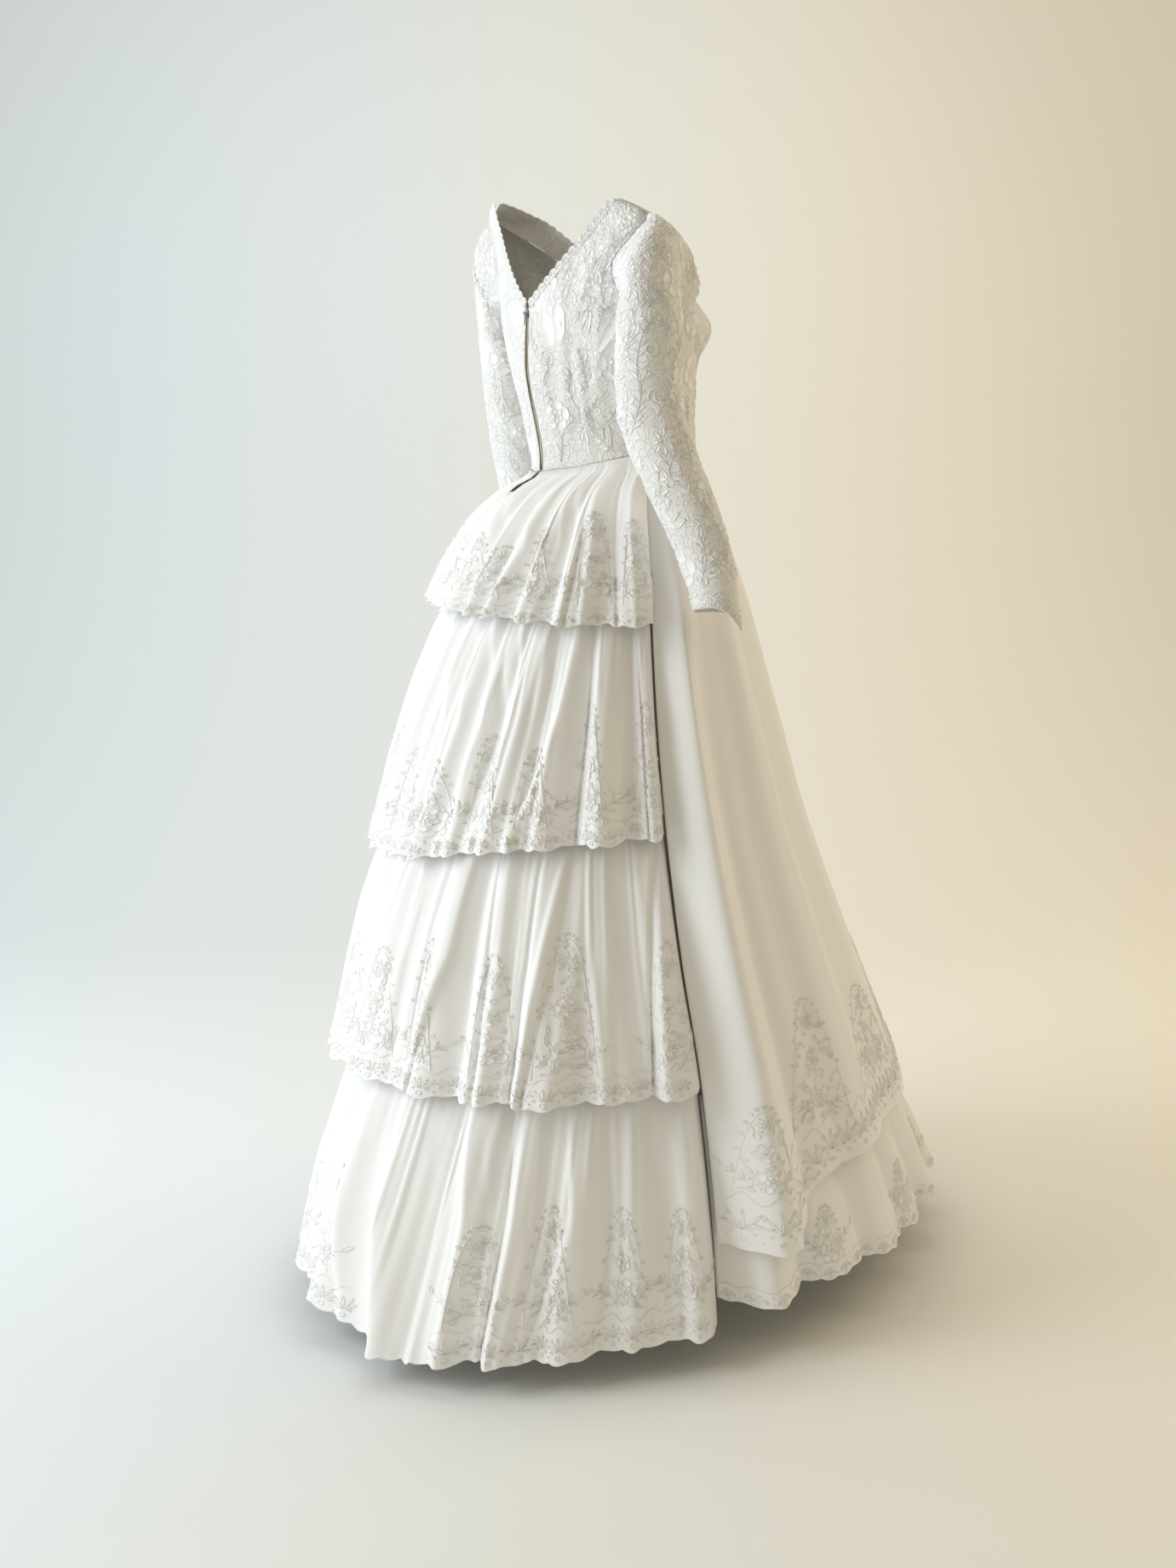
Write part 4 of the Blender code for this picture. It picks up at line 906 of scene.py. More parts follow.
def rose(radius=0.017):
    petals = ring_of(leaf(radius * 0.72, radius * 0.80, -0.35), 5, radius * 0.28)
    inner = ring_of(leaf(radius * 0.40, radius * 0.40, -0.2, 8), 5, radius * 0.10, 36)
    raised = [s._replace(rises=s.rises + 0.0004) for s in inner]
    return joined(petals + raised + [disc(radius * 0.13, height=0.0015)])


def daisy(radius=0.011):
    petals = ring_of(leaf(radius * 0.72, radius * 0.36, 0.1, 8), 8, radius * 0.28)
    return joined(petals + [disc(radius * 0.24, filled=False)])


def stem_path(height, bend, count=9):
    share = np.linspace(0, 1, count)
    return np.stack([bend * np.sin(np.pi * share * 0.8), height * share], 1)


def spray(height=0.052, bend=0.008, pairs=4, leaf_length=0.0125):
    """A bent stem with leaves in pairs and a bud."""
    path = stem_path(height, bend, 17)
    parts = [cord(path)]
    for n in range(pairs):
        at = path[2 + round(n * 12 / pairs)]
        size = 1 - 0.13 * n
        for side in (-1, 1):
            parts.append(moved(leaf(leaf_length, leaf_length * 0.38), *at, side * (56 - 5 * n), size))
    tip = path[-1]
    parts.append(moved(leaf(leaf_length * 0.9, leaf_length * 0.5, 0.3), *tip, -bend * 1500))
    return joined(parts)


def tendril(radius=0.009, turns=1.1, count=16):
    """A curl that starts at (0, 0) and winds in to the left, with a dot at its heart."""
    share = np.linspace(0, 1, count)
    a = 2 * np.pi * turns * share
    r = radius * (1 - 0.72 * share)
    path = np.stack([-radius + r * np.cos(a), r * np.sin(a)], 1)
    return joined([cord(path, 0.0011), moved(disc(0.0013, count=6), *path[-1])])


MOTIF_POWER = 2.4  # the higher, the rounder a motif's top


def arch_path(width, height, power=MOTIF_POWER, count=27):
    """Over a pointed arch, from its right foot to its left."""
    side = np.linspace(1, -1, count)
    return np.stack([side * width / 2, height * (1 - np.abs(side) ** power)], 1)


def pointed_motif(width, height, seed=5):
    """A tall pointed figure for a hem: an arch of cord filled with flowers, leaves and rings."""
    chance = np.random.default_rng(seed)
    parts = [cord(arch_path(width, height), 0.0018)]
    for x, y, pick in scattered((-width / 2, 0.004), (width / 2, height * 0.97), 0.0138, seed, 0.36):
        room = width / 2 * max(1 - y / height, 0) ** (1 / MOTIF_POWER)
        if abs(x) > room - 0.002:
            continue
        turn = chance.uniform(-180, 180)
        if pick < 0.28:
            parts.append(moved(disc(0.0036, filled=False), x, y))
        elif pick < 0.82:
            parts.append(moved(leaf(0.0130, 0.0062), x, y - 0.005, turn * 0.4))
        else:
            parts.append(moved(tendril(0.0062, count=12), x, y, turn))
    parts.append(moved(rose(0.0175), 0.002, height * 0.22))
    parts.append(moved(rose(0.0120), -0.003, height * 0.52, 30))
    parts.append(moved(daisy(0.0125), 0, height * 0.84))
    for n, (x, y) in enumerate(arch_path(width + 0.009, height + 0.006, MOTIF_POWER, 17)[1:-1]):
        parts.append(moved(disc(0.0026, filled=n % 2 == 0, count=6), x, y))
    for side in (-1, 1):
        foot = moved(spray(0.040, 0.007, 3, 0.013), side * 0.012, 0.008, -side * 58, 1, side > 0)
        parts.append(foot)
    return joined(parts)


def border_unit(width, height):
    """One repeat of the band along a hem, over its lobe."""
    parts = [moved(disc(0.0034, filled=False, count=10), 0, height * 0.20)]
    parts += [moved(disc(0.0022, filled=False), x * width, height * 0.30) for x in (-0.30, 0.30)]
    for turn in (-74, -37, 0, 37, 74):
        parts.append(moved(leaf(height * 0.36, 0.0046, 0.3), 0, height * 0.36, turn))
    share = np.linspace(-0.5, 0.5, 9)
    lobe = np.stack([share * width, height * (0.90 + 0.10 * np.cos(2 * np.pi * share))], 1)
    parts.append(cord(lobe[::-1], 0.0012))
    parts.append(moved(disc(0.0014, count=6), -width / 2, height * 0.55))
    parts.append(moved(disc(0.0014, count=6), -width / 2, height * 0.14))
    return joined(parts)


def right_and_up(surface, u, v):
    """What a metre to the right and a metre up are in u and v, at spots of a surface."""
    step_u = 0.02 if surface.high[0] > 1e8 or surface.high[0] < 20 else 0.2
    step_v = 0.02 if surface.high[1] > 2 else 0.004
    v = np.clip(v, surface.low[1] + step_v, surface.high[1] - step_v)
    along_u = (surface.plain(u + step_u, v) - surface.plain(u - step_u, v)) / (2 * step_u)
    along_v = (surface.plain(u, v + step_v) - surface.plain(u, v - step_v)) / (2 * step_v)
    outward = level(np.cross(along_u, along_v) * surface.side)
    right = level(np.cross(UP, outward))
    up = np.cross(outward, right)
    frame_of = np.stack(
        [
            np.stack([dot(along_u, right)[..., 0], dot(along_v, right)[..., 0]], -1),
            np.stack([dot(along_u, up)[..., 0], dot(along_v, up)[..., 0]], -1),
        ],
        -2,
    )
    return np.linalg.inv(frame_of)


def raised_points(surface, u, v, rise):
    """Points of a surface moved straight out of it."""
    step_u = 0.02 if surface.high[0] > 1e8 or surface.high[0] < 20 else 0.15
    step_v = 0.02 if surface.high[1] > 2 else 0.003
    low = np.maximum(v - step_v, surface.low[1])
    high = np.minimum(v + step_v, surface.high[1])
    along_u = surface.shape(u + step_u, v) - surface.shape(u - step_u, v)
    along_v = surface.shape(u, high) - surface.shape(u, low)
    outward = level(np.cross(along_u, along_v) * surface.side)
    return surface.shape(u, v) + outward * (rise + SHEET_WALL / 2)[..., None]


class LaceWork:
    """The raised lace of one surface, gathered before it is made into a mesh."""

    def __init__(self, surface):
        self.surface = surface
        self.parts = []

    def lay(self, shape, spots):
        """Lays a shape at each spot: (u, v, turn, size, mirrored)."""
        if not len(spots):
            return
        u, v = np.array([s[0] for s in spots], float), np.array([s[1] for s in spots], float)
        ways = right_and_up(self.surface, u, v)
        for spot, way in zip(spots, ways):
            laid = moved(shape, 0, 0, spot[2], spot[3], spot[4])
            uv = laid.points @ way.T + (spot[0], spot[1])
            self.parts.append(Shape(uv, laid.rises, laid.faces))

    def points_and_faces(self):
        all_in_one = joined(self.parts)
        surface = self.surface
        u = np.clip(all_in_one.points[:, 0], surface.low[0], surface.high[0])
        v = np.clip(all_in_one.points[:, 1], surface.low[1], surface.high[1])
        return raised_points(surface, u, v, all_in_one.rises), all_in_one.faces


# Meshes


def new_piece(name, points, faces, material_name, body=BODY):
    mesh = bpy.data.meshes.new(name)
    mesh.from_pydata([tuple(p) for p in points], [], [tuple(f) for f in faces])
    mesh.materials.append(bpy.data.materials[material_name])
    mesh.shade_smooth()
    piece = bpy.data.objects.new(name, mesh)
    bpy.context.scene.collection.objects.link(piece)
    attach(piece, body)
    return piece


def flat_map(piece, u, v):
    """A UV map in metres along the cloth."""
    layer = piece.data.uv_layers.new(name="flat")
    index = np.empty(len(piece.data.loops), int)
    piece.data.loops.foreach_get("vertex_index", index)
    layer.uv.foreach_set("vector", np.stack([u[index], v[index]], 1).astype(np.float32).ravel())


def grid(rows, columns, closed=False, left_out=(), turned=False):
    """Quads of a grid stored row by row; turned faces look the other way."""
    faces = []
    for r in range(rows - 1):
        for c in range(columns if closed else columns - 1):
            if (r, c) in left_out:
                continue
            a, b = r * columns + c, r * columns + (c + 1) % columns
            face = (a, b, b + columns, a + columns)
            faces.append(face[::-1] if turned else face)
    return faces


def only(piece):
    """Selects one piece alone and makes it active."""
    bpy.ops.object.select_all(action="DESELECT")
    piece.select_set(True)
    bpy.context.view_layer.objects.active = piece


def thickened(piece, wall):
    """Gives a sheet its wall, half to each side."""
    only(piece)
    solid = piece.modifiers.new("wall", "SOLIDIFY")
    solid.thickness = wall
    solid.offset = 0
    bpy.ops.object.modifier_apply(modifier=solid.name)


def welded(piece):
    """Joins the halves of a piece where their edges meet."""
    work = bmesh.new()
    work.from_mesh(piece.data)
    bmesh.ops.remove_doubles(work, verts=work.verts, dist=0.00002)
    work.to_mesh(piece.data)
    work.free()


def mask_of(piece, values):
    """A vertex attribute that tells the material where the lace is."""
    layer = piece.data.attributes.new("lace", "FLOAT", "POINT")
    layer.data.foreach_set("value", values.astype(np.float32))


def sheet_piece(name, surfaces, us, vs, material_name, turned=False, closed=False, lace=None,
                left_out=(), metres=(1.0, 1.0)):
    """One cloth from a grid on each surface, all welded together."""
    points, faces, maps, masks = [], [], [], []
    for n, surface in enumerate(surfaces):
        u, v = (a.ravel() for a in np.meshgrid(us, vs))
        first = n * len(u)
        points.append(surface.shape(u, v))
        flipped = turned != (n == 1)
        own = grid(len(vs), len(us), closed, left_out, flipped)
        faces += [tuple(i + first for i in face) for face in own]
        maps.append(np.stack([u * metres[0] * (1 - 2 * n), v * metres[1]], 1))
        masks.append(lace(u, v) if lace else np.zeros(len(u)))
    piece = new_piece(name, np.concatenate(points), faces, material_name)
    flat = np.concatenate(maps)
    flat_map(piece, flat[:, 0], flat[:, 1])
    mask_of(piece, np.concatenate(masks))
    if len(surfaces) > 1:
        welded(piece)
    return piece


def lace_piece(name, works):
    """One mesh of all the raised lace on a piece."""
    made = [work.points_and_faces() for work in works]
    counts = np.cumsum([0] + [len(points) for points, _ in made])
    faces = np.concatenate([f + n for (_, f), n in zip(made, counts)])
    piece = new_piece(name, np.concatenate([p for p, _ in made]), faces, "lace_thread")
    work = bmesh.new()
    work.from_mesh(piece.data)
    bmesh.ops.dissolve_degenerate(work, edges=work.edges, dist=0.00001)
    bmesh.ops.delete(work, geom=[v for v in work.verts if not v.link_faces], context="VERTS")
    work.to_mesh(piece.data)
    work.free()
    piece.data.shade_smooth()
    return piece


# Materials


def group(name, inputs, outputs):
    """An empty shader node group with value or colour sockets."""
    made = bpy.data.node_groups.new(name, "ShaderNodeTree")
    for label, kind, default in inputs:
        socket = made.interface.new_socket(label, in_out="INPUT", socket_type=kind)
        if default is not None:
            socket.default_value = default
    for label, kind in outputs:
        made.interface.new_socket(label, in_out="OUTPUT", socket_type=kind)
    start, end = made.nodes.new("NodeGroupInput"), made.nodes.new("NodeGroupOutput")
    return made, start, end


def node_in(tree, kind, **values):
    """A new shader node with some of its inputs set, an underscore standing for a space."""
    node = tree.nodes.new("ShaderNode" + kind)
    for label, value in values.items():
        node.inputs[label.replace("_", " ")].default_value = value
    return node


def maths(tree, operation, a, b=None, clamp=False):
    node = tree.nodes.new("ShaderNodeMath")
    node.operation = operation
    node.use_clamp = clamp
    for socket, value in zip(node.inputs, (a, b)):
        if value is None:
            continue
        if isinstance(value, (int, float)):
            socket.default_value = value
        else:
            tree.links.new(value, socket)
    return node.outputs[0]


def weave_group():
    """Over and under threads of a plain weave on the cloth's own flat map."""
    made, start, end = group(
        "plain_weave",
        [("Threads per metre", "NodeSocketFloat", 1200.0)],
        [("Height", "NodeSocketFloat")],
    )
    flat = node_in(made, "UVMap")
    flat.uv_map = "flat"
    apart = node_in(made, "SeparateXYZ")
    made.links.new(flat.outputs["UV"], apart.inputs[0])
    waves = []
    for axis in ("X", "Y"):
        turns = maths(made, "MULTIPLY", apart.outputs[axis], start.outputs[0])
        waves.append(maths(made, "SINE", maths(made, "MULTIPLY", turns, math.pi)))
    height = maths(made, "MULTIPLY", waves[0], waves[1])
    made.links.new(maths(made, "MULTIPLY_ADD", height, 0.5), end.inputs[0])


def mottle_group():
    """Soft uneven tone, as old white cloth has: large clouds and small flecks."""
    made, start, end = group(
        "mottle",
        [("Size", "NodeSocketFloat", 9.0)],
        [("Clouds", "NodeSocketFloat"), ("Flecks", "NodeSocketFloat")],
    )
    place = node_in(made, "TexCoord")
    for label, scale, detail in (("Clouds", 1.0, 3.0), ("Flecks", 26.0, 2.0)):
        noise = node_in(made, "TexNoise", Detail=detail)
        made.links.new(maths(made, "MULTIPLY", start.outputs[0], scale), noise.inputs["Scale"])
        made.links.new(place.outputs["Object"], noise.inputs["Vector"])
        made.links.new(noise.outputs["Fac"], end.inputs[label])


def net_group():
    """The fine net between lace flowers: thread 1, hole 0, on Object coordinates."""
    made, start, end = group(
        "lace_net",
        [("Cells per metre", "NodeSocketFloat", 420.0)],
        [("Thread", "NodeSocketFloat")],
    )
    place = node_in(made, "TexCoord")
    cells = node_in(made, "TexVoronoi", Randomness=0.35)
    cells.feature = "DISTANCE_TO_EDGE"
    made.links.new(place.outputs["Object"], cells.inputs["Vector"])
    made.links.new(start.outputs[0], cells.inputs["Scale"])
    inside = maths(made, "MULTIPLY", cells.outputs["Distance"], 4.0, clamp=True)
    made.links.new(maths(made, "SUBTRACT", 1.0, inside), end.inputs[0])


def corded_group():
    """Fine cords that wander between the flowers: cord 1, ground 0, on Object coordinates."""
    made, start, end = group(
        "corded_ground",
        [("Cells per metre", "NodeSocketFloat", 90.0), ("Thickness", "NodeSocketFloat", 0.075)],
        [("Cord", "NodeSocketFloat")],
    )
    place = node_in(made, "TexCoord")
    wander = node_in(made, "TexNoise", Scale=55.0, Detail=2.0)
    away = node_in(made, "VectorMath")
    away.operation = "MULTIPLY_ADD"
    away.inputs[1].default_value = (0.016, 0.016, 0.016)
    made.links.new(place.outputs["Object"], wander.inputs["Vector"])
    made.links.new(wander.outputs["Color"], away.inputs[0])
    made.links.new(place.outputs["Object"], away.inputs[2])
    cells = node_in(made, "TexVoronoi")
    cells.feature = "DISTANCE_TO_EDGE"
    made.links.new(away.outputs[0], cells.inputs["Vector"])
    made.links.new(start.outputs[0], cells.inputs["Scale"])
    inside = maths(made, "DIVIDE", cells.outputs["Distance"], start.outputs[1], clamp=True)
    made.links.new(maths(made, "SUBTRACT", 1.0, maths(made, "POWER", inside, 2.0)), end.inputs[0])


def use(tree, name, **values):
    """A shader node group placed in a material, with its own values."""
    node = tree.nodes.new("ShaderNodeGroup")
    node.node_tree = bpy.data.node_groups[name]
    for label, value in values.items():
        node.inputs[label.replace("_", " ")].default_value = value
    return node


def ranged(tree, value, low, high):
    """A value from 0 to 1 spread over a range."""
    node = node_in(tree, "MapRange", To_Min=low, To_Max=high)
    tree.links.new(value, node.inputs["Value"])
    return node.outputs[0]


def mixed(tree, share, first, second):
    """A colour between two: each a colour or a socket."""
    node = tree.nodes.new("ShaderNodeMix")
    node.data_type = "RGBA"
    tree.links.new(share, node.inputs[0])
    for socket, value in ((node.inputs[6], first), (node.inputs[7], second)):
        if hasattr(value, "is_linked"):
            tree.links.new(value, socket)
        else:
            socket.default_value = (*value, 1.0)
    return node.outputs[2]


def bump_on(tree, shader, *layers):
    """Bumps in a row, each (height socket, strength, metres)."""
    normal = None
    for height, strength, metres in layers:
        node = node_in(tree, "Bump", Strength=strength, Distance=metres)
        tree.links.new(height, node.inputs["Height"])
        if normal:
            tree.links.new(normal, node.inputs["Normal"])
        normal = node.outputs[0]
    tree.links.new(normal, shader.inputs["Normal"])


def new_material(name, values):
    """A new material's nodes and its shader, with constant values on its own sockets."""
    made = bpy.data.materials.new(name)
    made.use_nodes = True
    shader = made.node_tree.nodes["Principled BSDF"]
    for label, value in values.items():
        shader.inputs[label].default_value = value
    return made.node_tree, shader


def cloth_shader(name, roughness, sheen):
    values = {"Roughness": roughness, "Sheen Weight": sheen}
    values.update({"Sheen Roughness": 0.4, "Specular IOR Level": 0.25})
    return new_material(name, values)


def shade_of(colour, share):
    return tuple(c * share for c in colour)


def lace_thread_material(colour):
    tree, shader = cloth_shader("lace_thread", 0.62, 0.15)
    mottle = use(tree, "mottle", Size=60.0)
    base = mixed(tree, mottle.outputs["Flecks"], shade_of(colour, 0.94), colour)
    tree.links.new(base, shader.inputs["Base Color"])
    bump_on(tree, shader, (mottle.outputs["Flecks"], 0.5, 0.0004))


def lace_ground_material(colour, lining):
    """Net and fine cord over a matt lining."""
    tree, shader = cloth_shader("lace_ground", 0.8, 0.10)
    fine, cords = use(tree, "lace_net", Cells_per_metre=620.0), use(tree, "corded_ground")
    mottle, puckers = use(tree, "mottle"), use(tree, "mottle", Size=34.0)
    thread = maths(tree, "MAXIMUM", maths(tree, "MULTIPLY", fine.outputs[0], 0.5), cords.outputs[0])
    clouded = mixed(tree, mottle.outputs["Clouds"], shade_of(lining, 0.92), lining)
    tree.links.new(mixed(tree, thread, clouded, colour), shader.inputs["Base Color"])
    bump_on(
        tree,
        shader,
        (puckers.outputs["Clouds"], 0.35, 0.004),
        (cords.outputs[0], 0.8, 0.0011),
        (fine.outputs[0], 0.35, 0.0003),
    )


def organza_material(colour, lace):
    """Sheer crisp cloth, with net and lace in the band that the mask marks."""
    tree, shader = cloth_shader("organza", 0.5, 0.22)
    net, weave, mottle = use(tree, "lace_net"), use(tree, "plain_weave"), use(tree, "mottle")
    cords = use(tree, "corded_ground", Cells_per_metre=120.0, Thickness=0.11)
    mask = node_in(tree, "Attribute")
    mask.attribute_name = "lace"
    band = mask.outputs["Fac"]
    crinkle = node_in(tree, "TexNoise", Scale=30.0, Detail=3.0, Distortion=0.8)
    place, drawn = node_in(tree, "TexCoord"), node_in(tree, "VectorMath")
    drawn.operation = "MULTIPLY"
    drawn.inputs[1].default_value = (1.0, 1.0, 0.3)
    tree.links.new(place.outputs["Object"], drawn.inputs[0])
    tree.links.new(drawn.outputs[0], crinkle.inputs["Vector"])
    plain = mixed(tree, mottle.outputs["Clouds"], shade_of(colour, 0.955), colour)
    # The net's holes and the ground between its cords are painted darker: painted shade of the layers
    # seen through the sheer lace.
    thread = maths(tree, "MAXIMUM", maths(tree, "MULTIPLY", net.outputs[0], 0.5), cords.outputs[0])
    netted = mixed(tree, thread, shade_of(lace, 0.87), lace)
    tree.links.new(mixed(tree, band, plain, netted), shader.inputs["Base Color"])
    bump_on(
        tree,
        shader,
        (crinkle.outputs["Fac"], 0.55, 0.006),
        (maths(tree, "MULTIPLY", cords.outputs[0], band), 0.8, 0.0012),
        (weave.outputs[0], 0.12, 0.0001),
    )
    tree.links.new(ranged(tree, band, 0.5, 0.75), shader.inputs["Roughness"])


def taffeta_material(colour):
    tree, shader = cloth_shader("taffeta", 0.55, 0.1)
    weave, mottle = use(tree, "plain_weave"), use(tree, "mottle")
    base = mixed(tree, mottle.outputs["Clouds"], shade_of(colour, 0.94), colour)
    tree.links.new(base, shader.inputs["Base Color"])
    bump_on(tree, shader, (mottle.outputs["Clouds"], 0.3, 0.003), (weave.outputs[0], 0.2, 0.0001))


def tape_material(colour):
    tree, shader = cloth_shader("tape", 0.85, 0.05)
    weave, mottle = use(tree, "plain_weave", Threads_per_metre=1600.0), use(tree, "mottle", Size=40.0)
    base = mixed(tree, mottle.outputs["Clouds"], shade_of(colour, 0.8), colour)
    tree.links.new(base, shader.inputs["Base Color"])
    bump_on(tree, shader, (weave.outputs[0], 0.5, 0.0002))


def metal_material(name, colour, roughness):
    tree, shader = new_material(name, {"Metallic": 1.0})
    mottle = use(tree, "mottle", Size=160.0)
    tarnished = mixed(tree, mottle.outputs["Clouds"], shade_of(colour, 0.55), colour)
    tree.links.new(tarnished, shader.inputs["Base Color"])
    rough = ranged(tree, mottle.outputs["Flecks"], roughness - 0.1, roughness + 0.2)
    tree.links.new(rough, shader.inputs["Roughness"])
    bump_on(tree, shader, (mottle.outputs["Flecks"], 0.3, 0.0001))


def stage_material(name, cool, warm, way):
    """Matt paint with painted light: the window light's cool tint runs to the warm light's tint along a
    level way.
    """
    tree, shader = new_material(name, {"Roughness": 0.9, "Specular IOR Level": 0.1})
    place = node_in(tree, "TexCoord")
    along_way = node_in(tree, "VectorMath")
    along_way.operation = "DOT_PRODUCT"
    along_way.inputs[1].default_value = tuple(way)
    tree.links.new(place.outputs["Object"], along_way.inputs[0])
    share = node_in(tree, "MapRange", From_Min=-LIGHT_TINT_REACH, From_Max=LIGHT_TINT_REACH)
    share.interpolation_type = "SMOOTHSTEP"
    tree.links.new(along_way.outputs["Value"], share.inputs["Value"])
    tree.links.new(mixed(tree, share.outputs[0], cool, warm), shader.inputs["Base Color"])


# Where the lace lies


def all_over(work, metres, span, seed):
    """Floral lace all over a panel or sleeve: metres is the size that its u and v span."""
    turns = np.random.default_rng(seed)
    per = (span[0] / metres[0], span[1] / metres[1])

    def spots(spacing, number, spread):
        made = []
        for x, y, pick in scattered((0, 0), metres, spacing, seed + number):
            lean = turns.uniform(-spread, spread)
            made.append((x * per[0], y * per[1], lean, 0.8 + 0.4 * pick, pick > 0.5))
        return made

    roses = spots(0.072, 1, 180)
    work.lay(rose(0.022), roses[::2])
    work.lay(daisy(0.017), roses[1::2])
    work.lay(spray(0.066, 0.011, 5, 0.0155), spots(0.056, 2, 48))
    work.lay(spray(0.046, -0.008, 3, 0.0135), spots(0.062, 3, 80))
    work.lay(tendril(0.0115), spots(0.066, 4, 180))


# A pointed motif stands on a hem at a turn; its width and height are in metres.
Motif = namedtuple("Motif", "turn width height")
MOTIFS = {
    "tier_1": table_of(
        Motif,
        (-64, 0.044, 0.095), (-48, 0.046, 0.08), (-31, 0.044, 0.1), (-13, 0.046, 0.085),
        (4, 0.044, 0.09), (19, 0.04, 0.07), (35, 0.04, 0.1), (56, 0.034, 0.12), (71, 0.036, 0.105),
    ),
    "tier_2": table_of(
        Motif,
        (-66, 0.052, 0.11), (-49, 0.054, 0.12), (-32, 0.05, 0.11), (-15, 0.054, 0.125),
        (0, 0.05, 0.105), (13, 0.046, 0.09), (29, 0.044, 0.11), (42, 0.044, 0.09), (56.5, 0.04, 0.14),
        (72, 0.042, 0.135),
    ),
    "tier_3": table_of(
        Motif,
        (-66, 0.062, 0.125), (-48, 0.064, 0.14), (-30, 0.06, 0.12), (-12, 0.064, 0.135),
        (4, 0.056, 0.13), (18, 0.052, 0.15), (35, 0.048, 0.14), (50, 0.07, 0.165), (70.5, 0.048, 0.15),
    ),
    "tier_4": table_of(
        Motif,
        (-68, 0.068, 0.13), (-50, 0.07, 0.14), (-33, 0.066, 0.125), (-16, 0.07, 0.14), (-1, 0.06, 0.12),
        (36, 0.058, 0.11), (48, 0.064, 0.13), (60, 0.062, 0.12), (70, 0.056, 0.11),
    ),
    "front_overskirt": table_of(
        Motif,
        (83.5, 0.064, 0.11), (99.5, 0.1, 0.16), (121, 0.12, 0.115), (143, 0.12, 0.135),
        (165, 0.12, 0.115), (188, 0.12, 0.135), (211, 0.12, 0.115), (234, 0.12, 0.135),
        (256, 0.11, 0.12), (275, 0.07, 0.11),
    ),
    "front_flounce": tuple(Motif(t, 0.046, 0.066) for t in (96, 121, 144, 170, 196, 222, 248, 266)),
}
BAND_HEIGHT = {"tier_1": 0.024, "tier_2": 0.030, "tier_3": 0.038, "tier_4": 0.046}
BAND_HEIGHT.update({"front_overskirt": 0.075, "front_flounce": 0.024})
PLAIN_VALLEY = {"tier_4": (9, 31)}  # turns with no band of lace
NO_VALLEY = (999, 999)
MOTIF_LAP = 0.92  # the share of the band's height at which a motif's foot stands
LACE_EDGE = 0.004  # metres over which the mask fades


def band_spots(layer):
    """The turns at which the band repeats, one to a scallop."""
    step = SCALLOP_TURNS[layer.name]
    low, high = layer_surface(layer).low[0], layer_surface(layer).high[0]
    plain = PLAIN_VALLEY.get(layer.name, NO_VALLEY)
    count = range(math.ceil(low / step), math.floor(high / step) + 1)
    turns = [n * step for n in count if low + step / 2 < n * step < high - step / 2]
    return [t for t in turns if not plain[0] < t < plain[1]]


def radius_at(layer, turn, down=1.0):
    """Metres along the cloth for each degree."""
    surface = layer_surface(layer)
    ends = surface.plain(np.array([turn - 0.5, turn + 0.5]), np.array([down, down]))
    return float(np.linalg.norm(ends[1] - ends[0]))


def layer_lace(layer):
    work = LaceWork(layer_surface(layer))
    height = BAND_HEIGHT[layer.name]
    for turn in band_spots(layer):
        width = radius_at(layer, turn) * SCALLOP_TURNS[layer.name]
        work.lay(border_unit(width, height), [(turn, 1.0, 0, 1, False)])
    for n, motif in enumerate(MOTIFS[layer.name]):
        shape = pointed_motif(motif.width, motif.height, 5 + 7 * n + len(layer.name))
        lift = MOTIF_LAP * height / layer_length(layer)
        work.lay(shape, [(motif.turn, 1.0 - lift, 0, 1, False)])
    return work


def layer_mask(layer):
    """Where a layer has net and lace: 1 in its band and its motifs, 0 on plain cloth."""
    height = BAND_HEIGHT[layer.name]
    plain = PLAIN_VALLEY.get(layer.name, NO_VALLEY)

    def mask(u, v):
        from_hem = (1 - v) * layer_length(layer)
        valley = (u > plain[0]) & (u < plain[1])
        band = ease((height - from_hem) / LACE_EDGE + 0.5) * np.where(valley, 0, 1)
        for motif in MOTIFS[layer.name]:
            across = np.abs(u - motif.turn) * radius_at(layer, motif.turn, 0.9)
            y = from_hem - height * MOTIF_LAP
            room = motif.width / 2 * np.clip(1 - y / motif.height, 0, 1) ** (1 / MOTIF_POWER)
            inside = ease((room - across) / LACE_EDGE + 0.5)
            band = np.maximum(band, inside * (y > -0.02) * (y < motif.height))
        return band

    return mask


# Neck edging


NECK_STRIP_IN = 0.0048  # how far the strip lies in from the neckline's edge
NECK_LOBE = 0.0070  # how far a scallop's tip stands past the edge
NECK_LOBE_LOW = 0.0042  # the same between two scallops
NECK_SCALLOP = 0.0125  # about one scallop's length
EDGING_WALL = 0.0007
EDGING_GAP = 0.0004


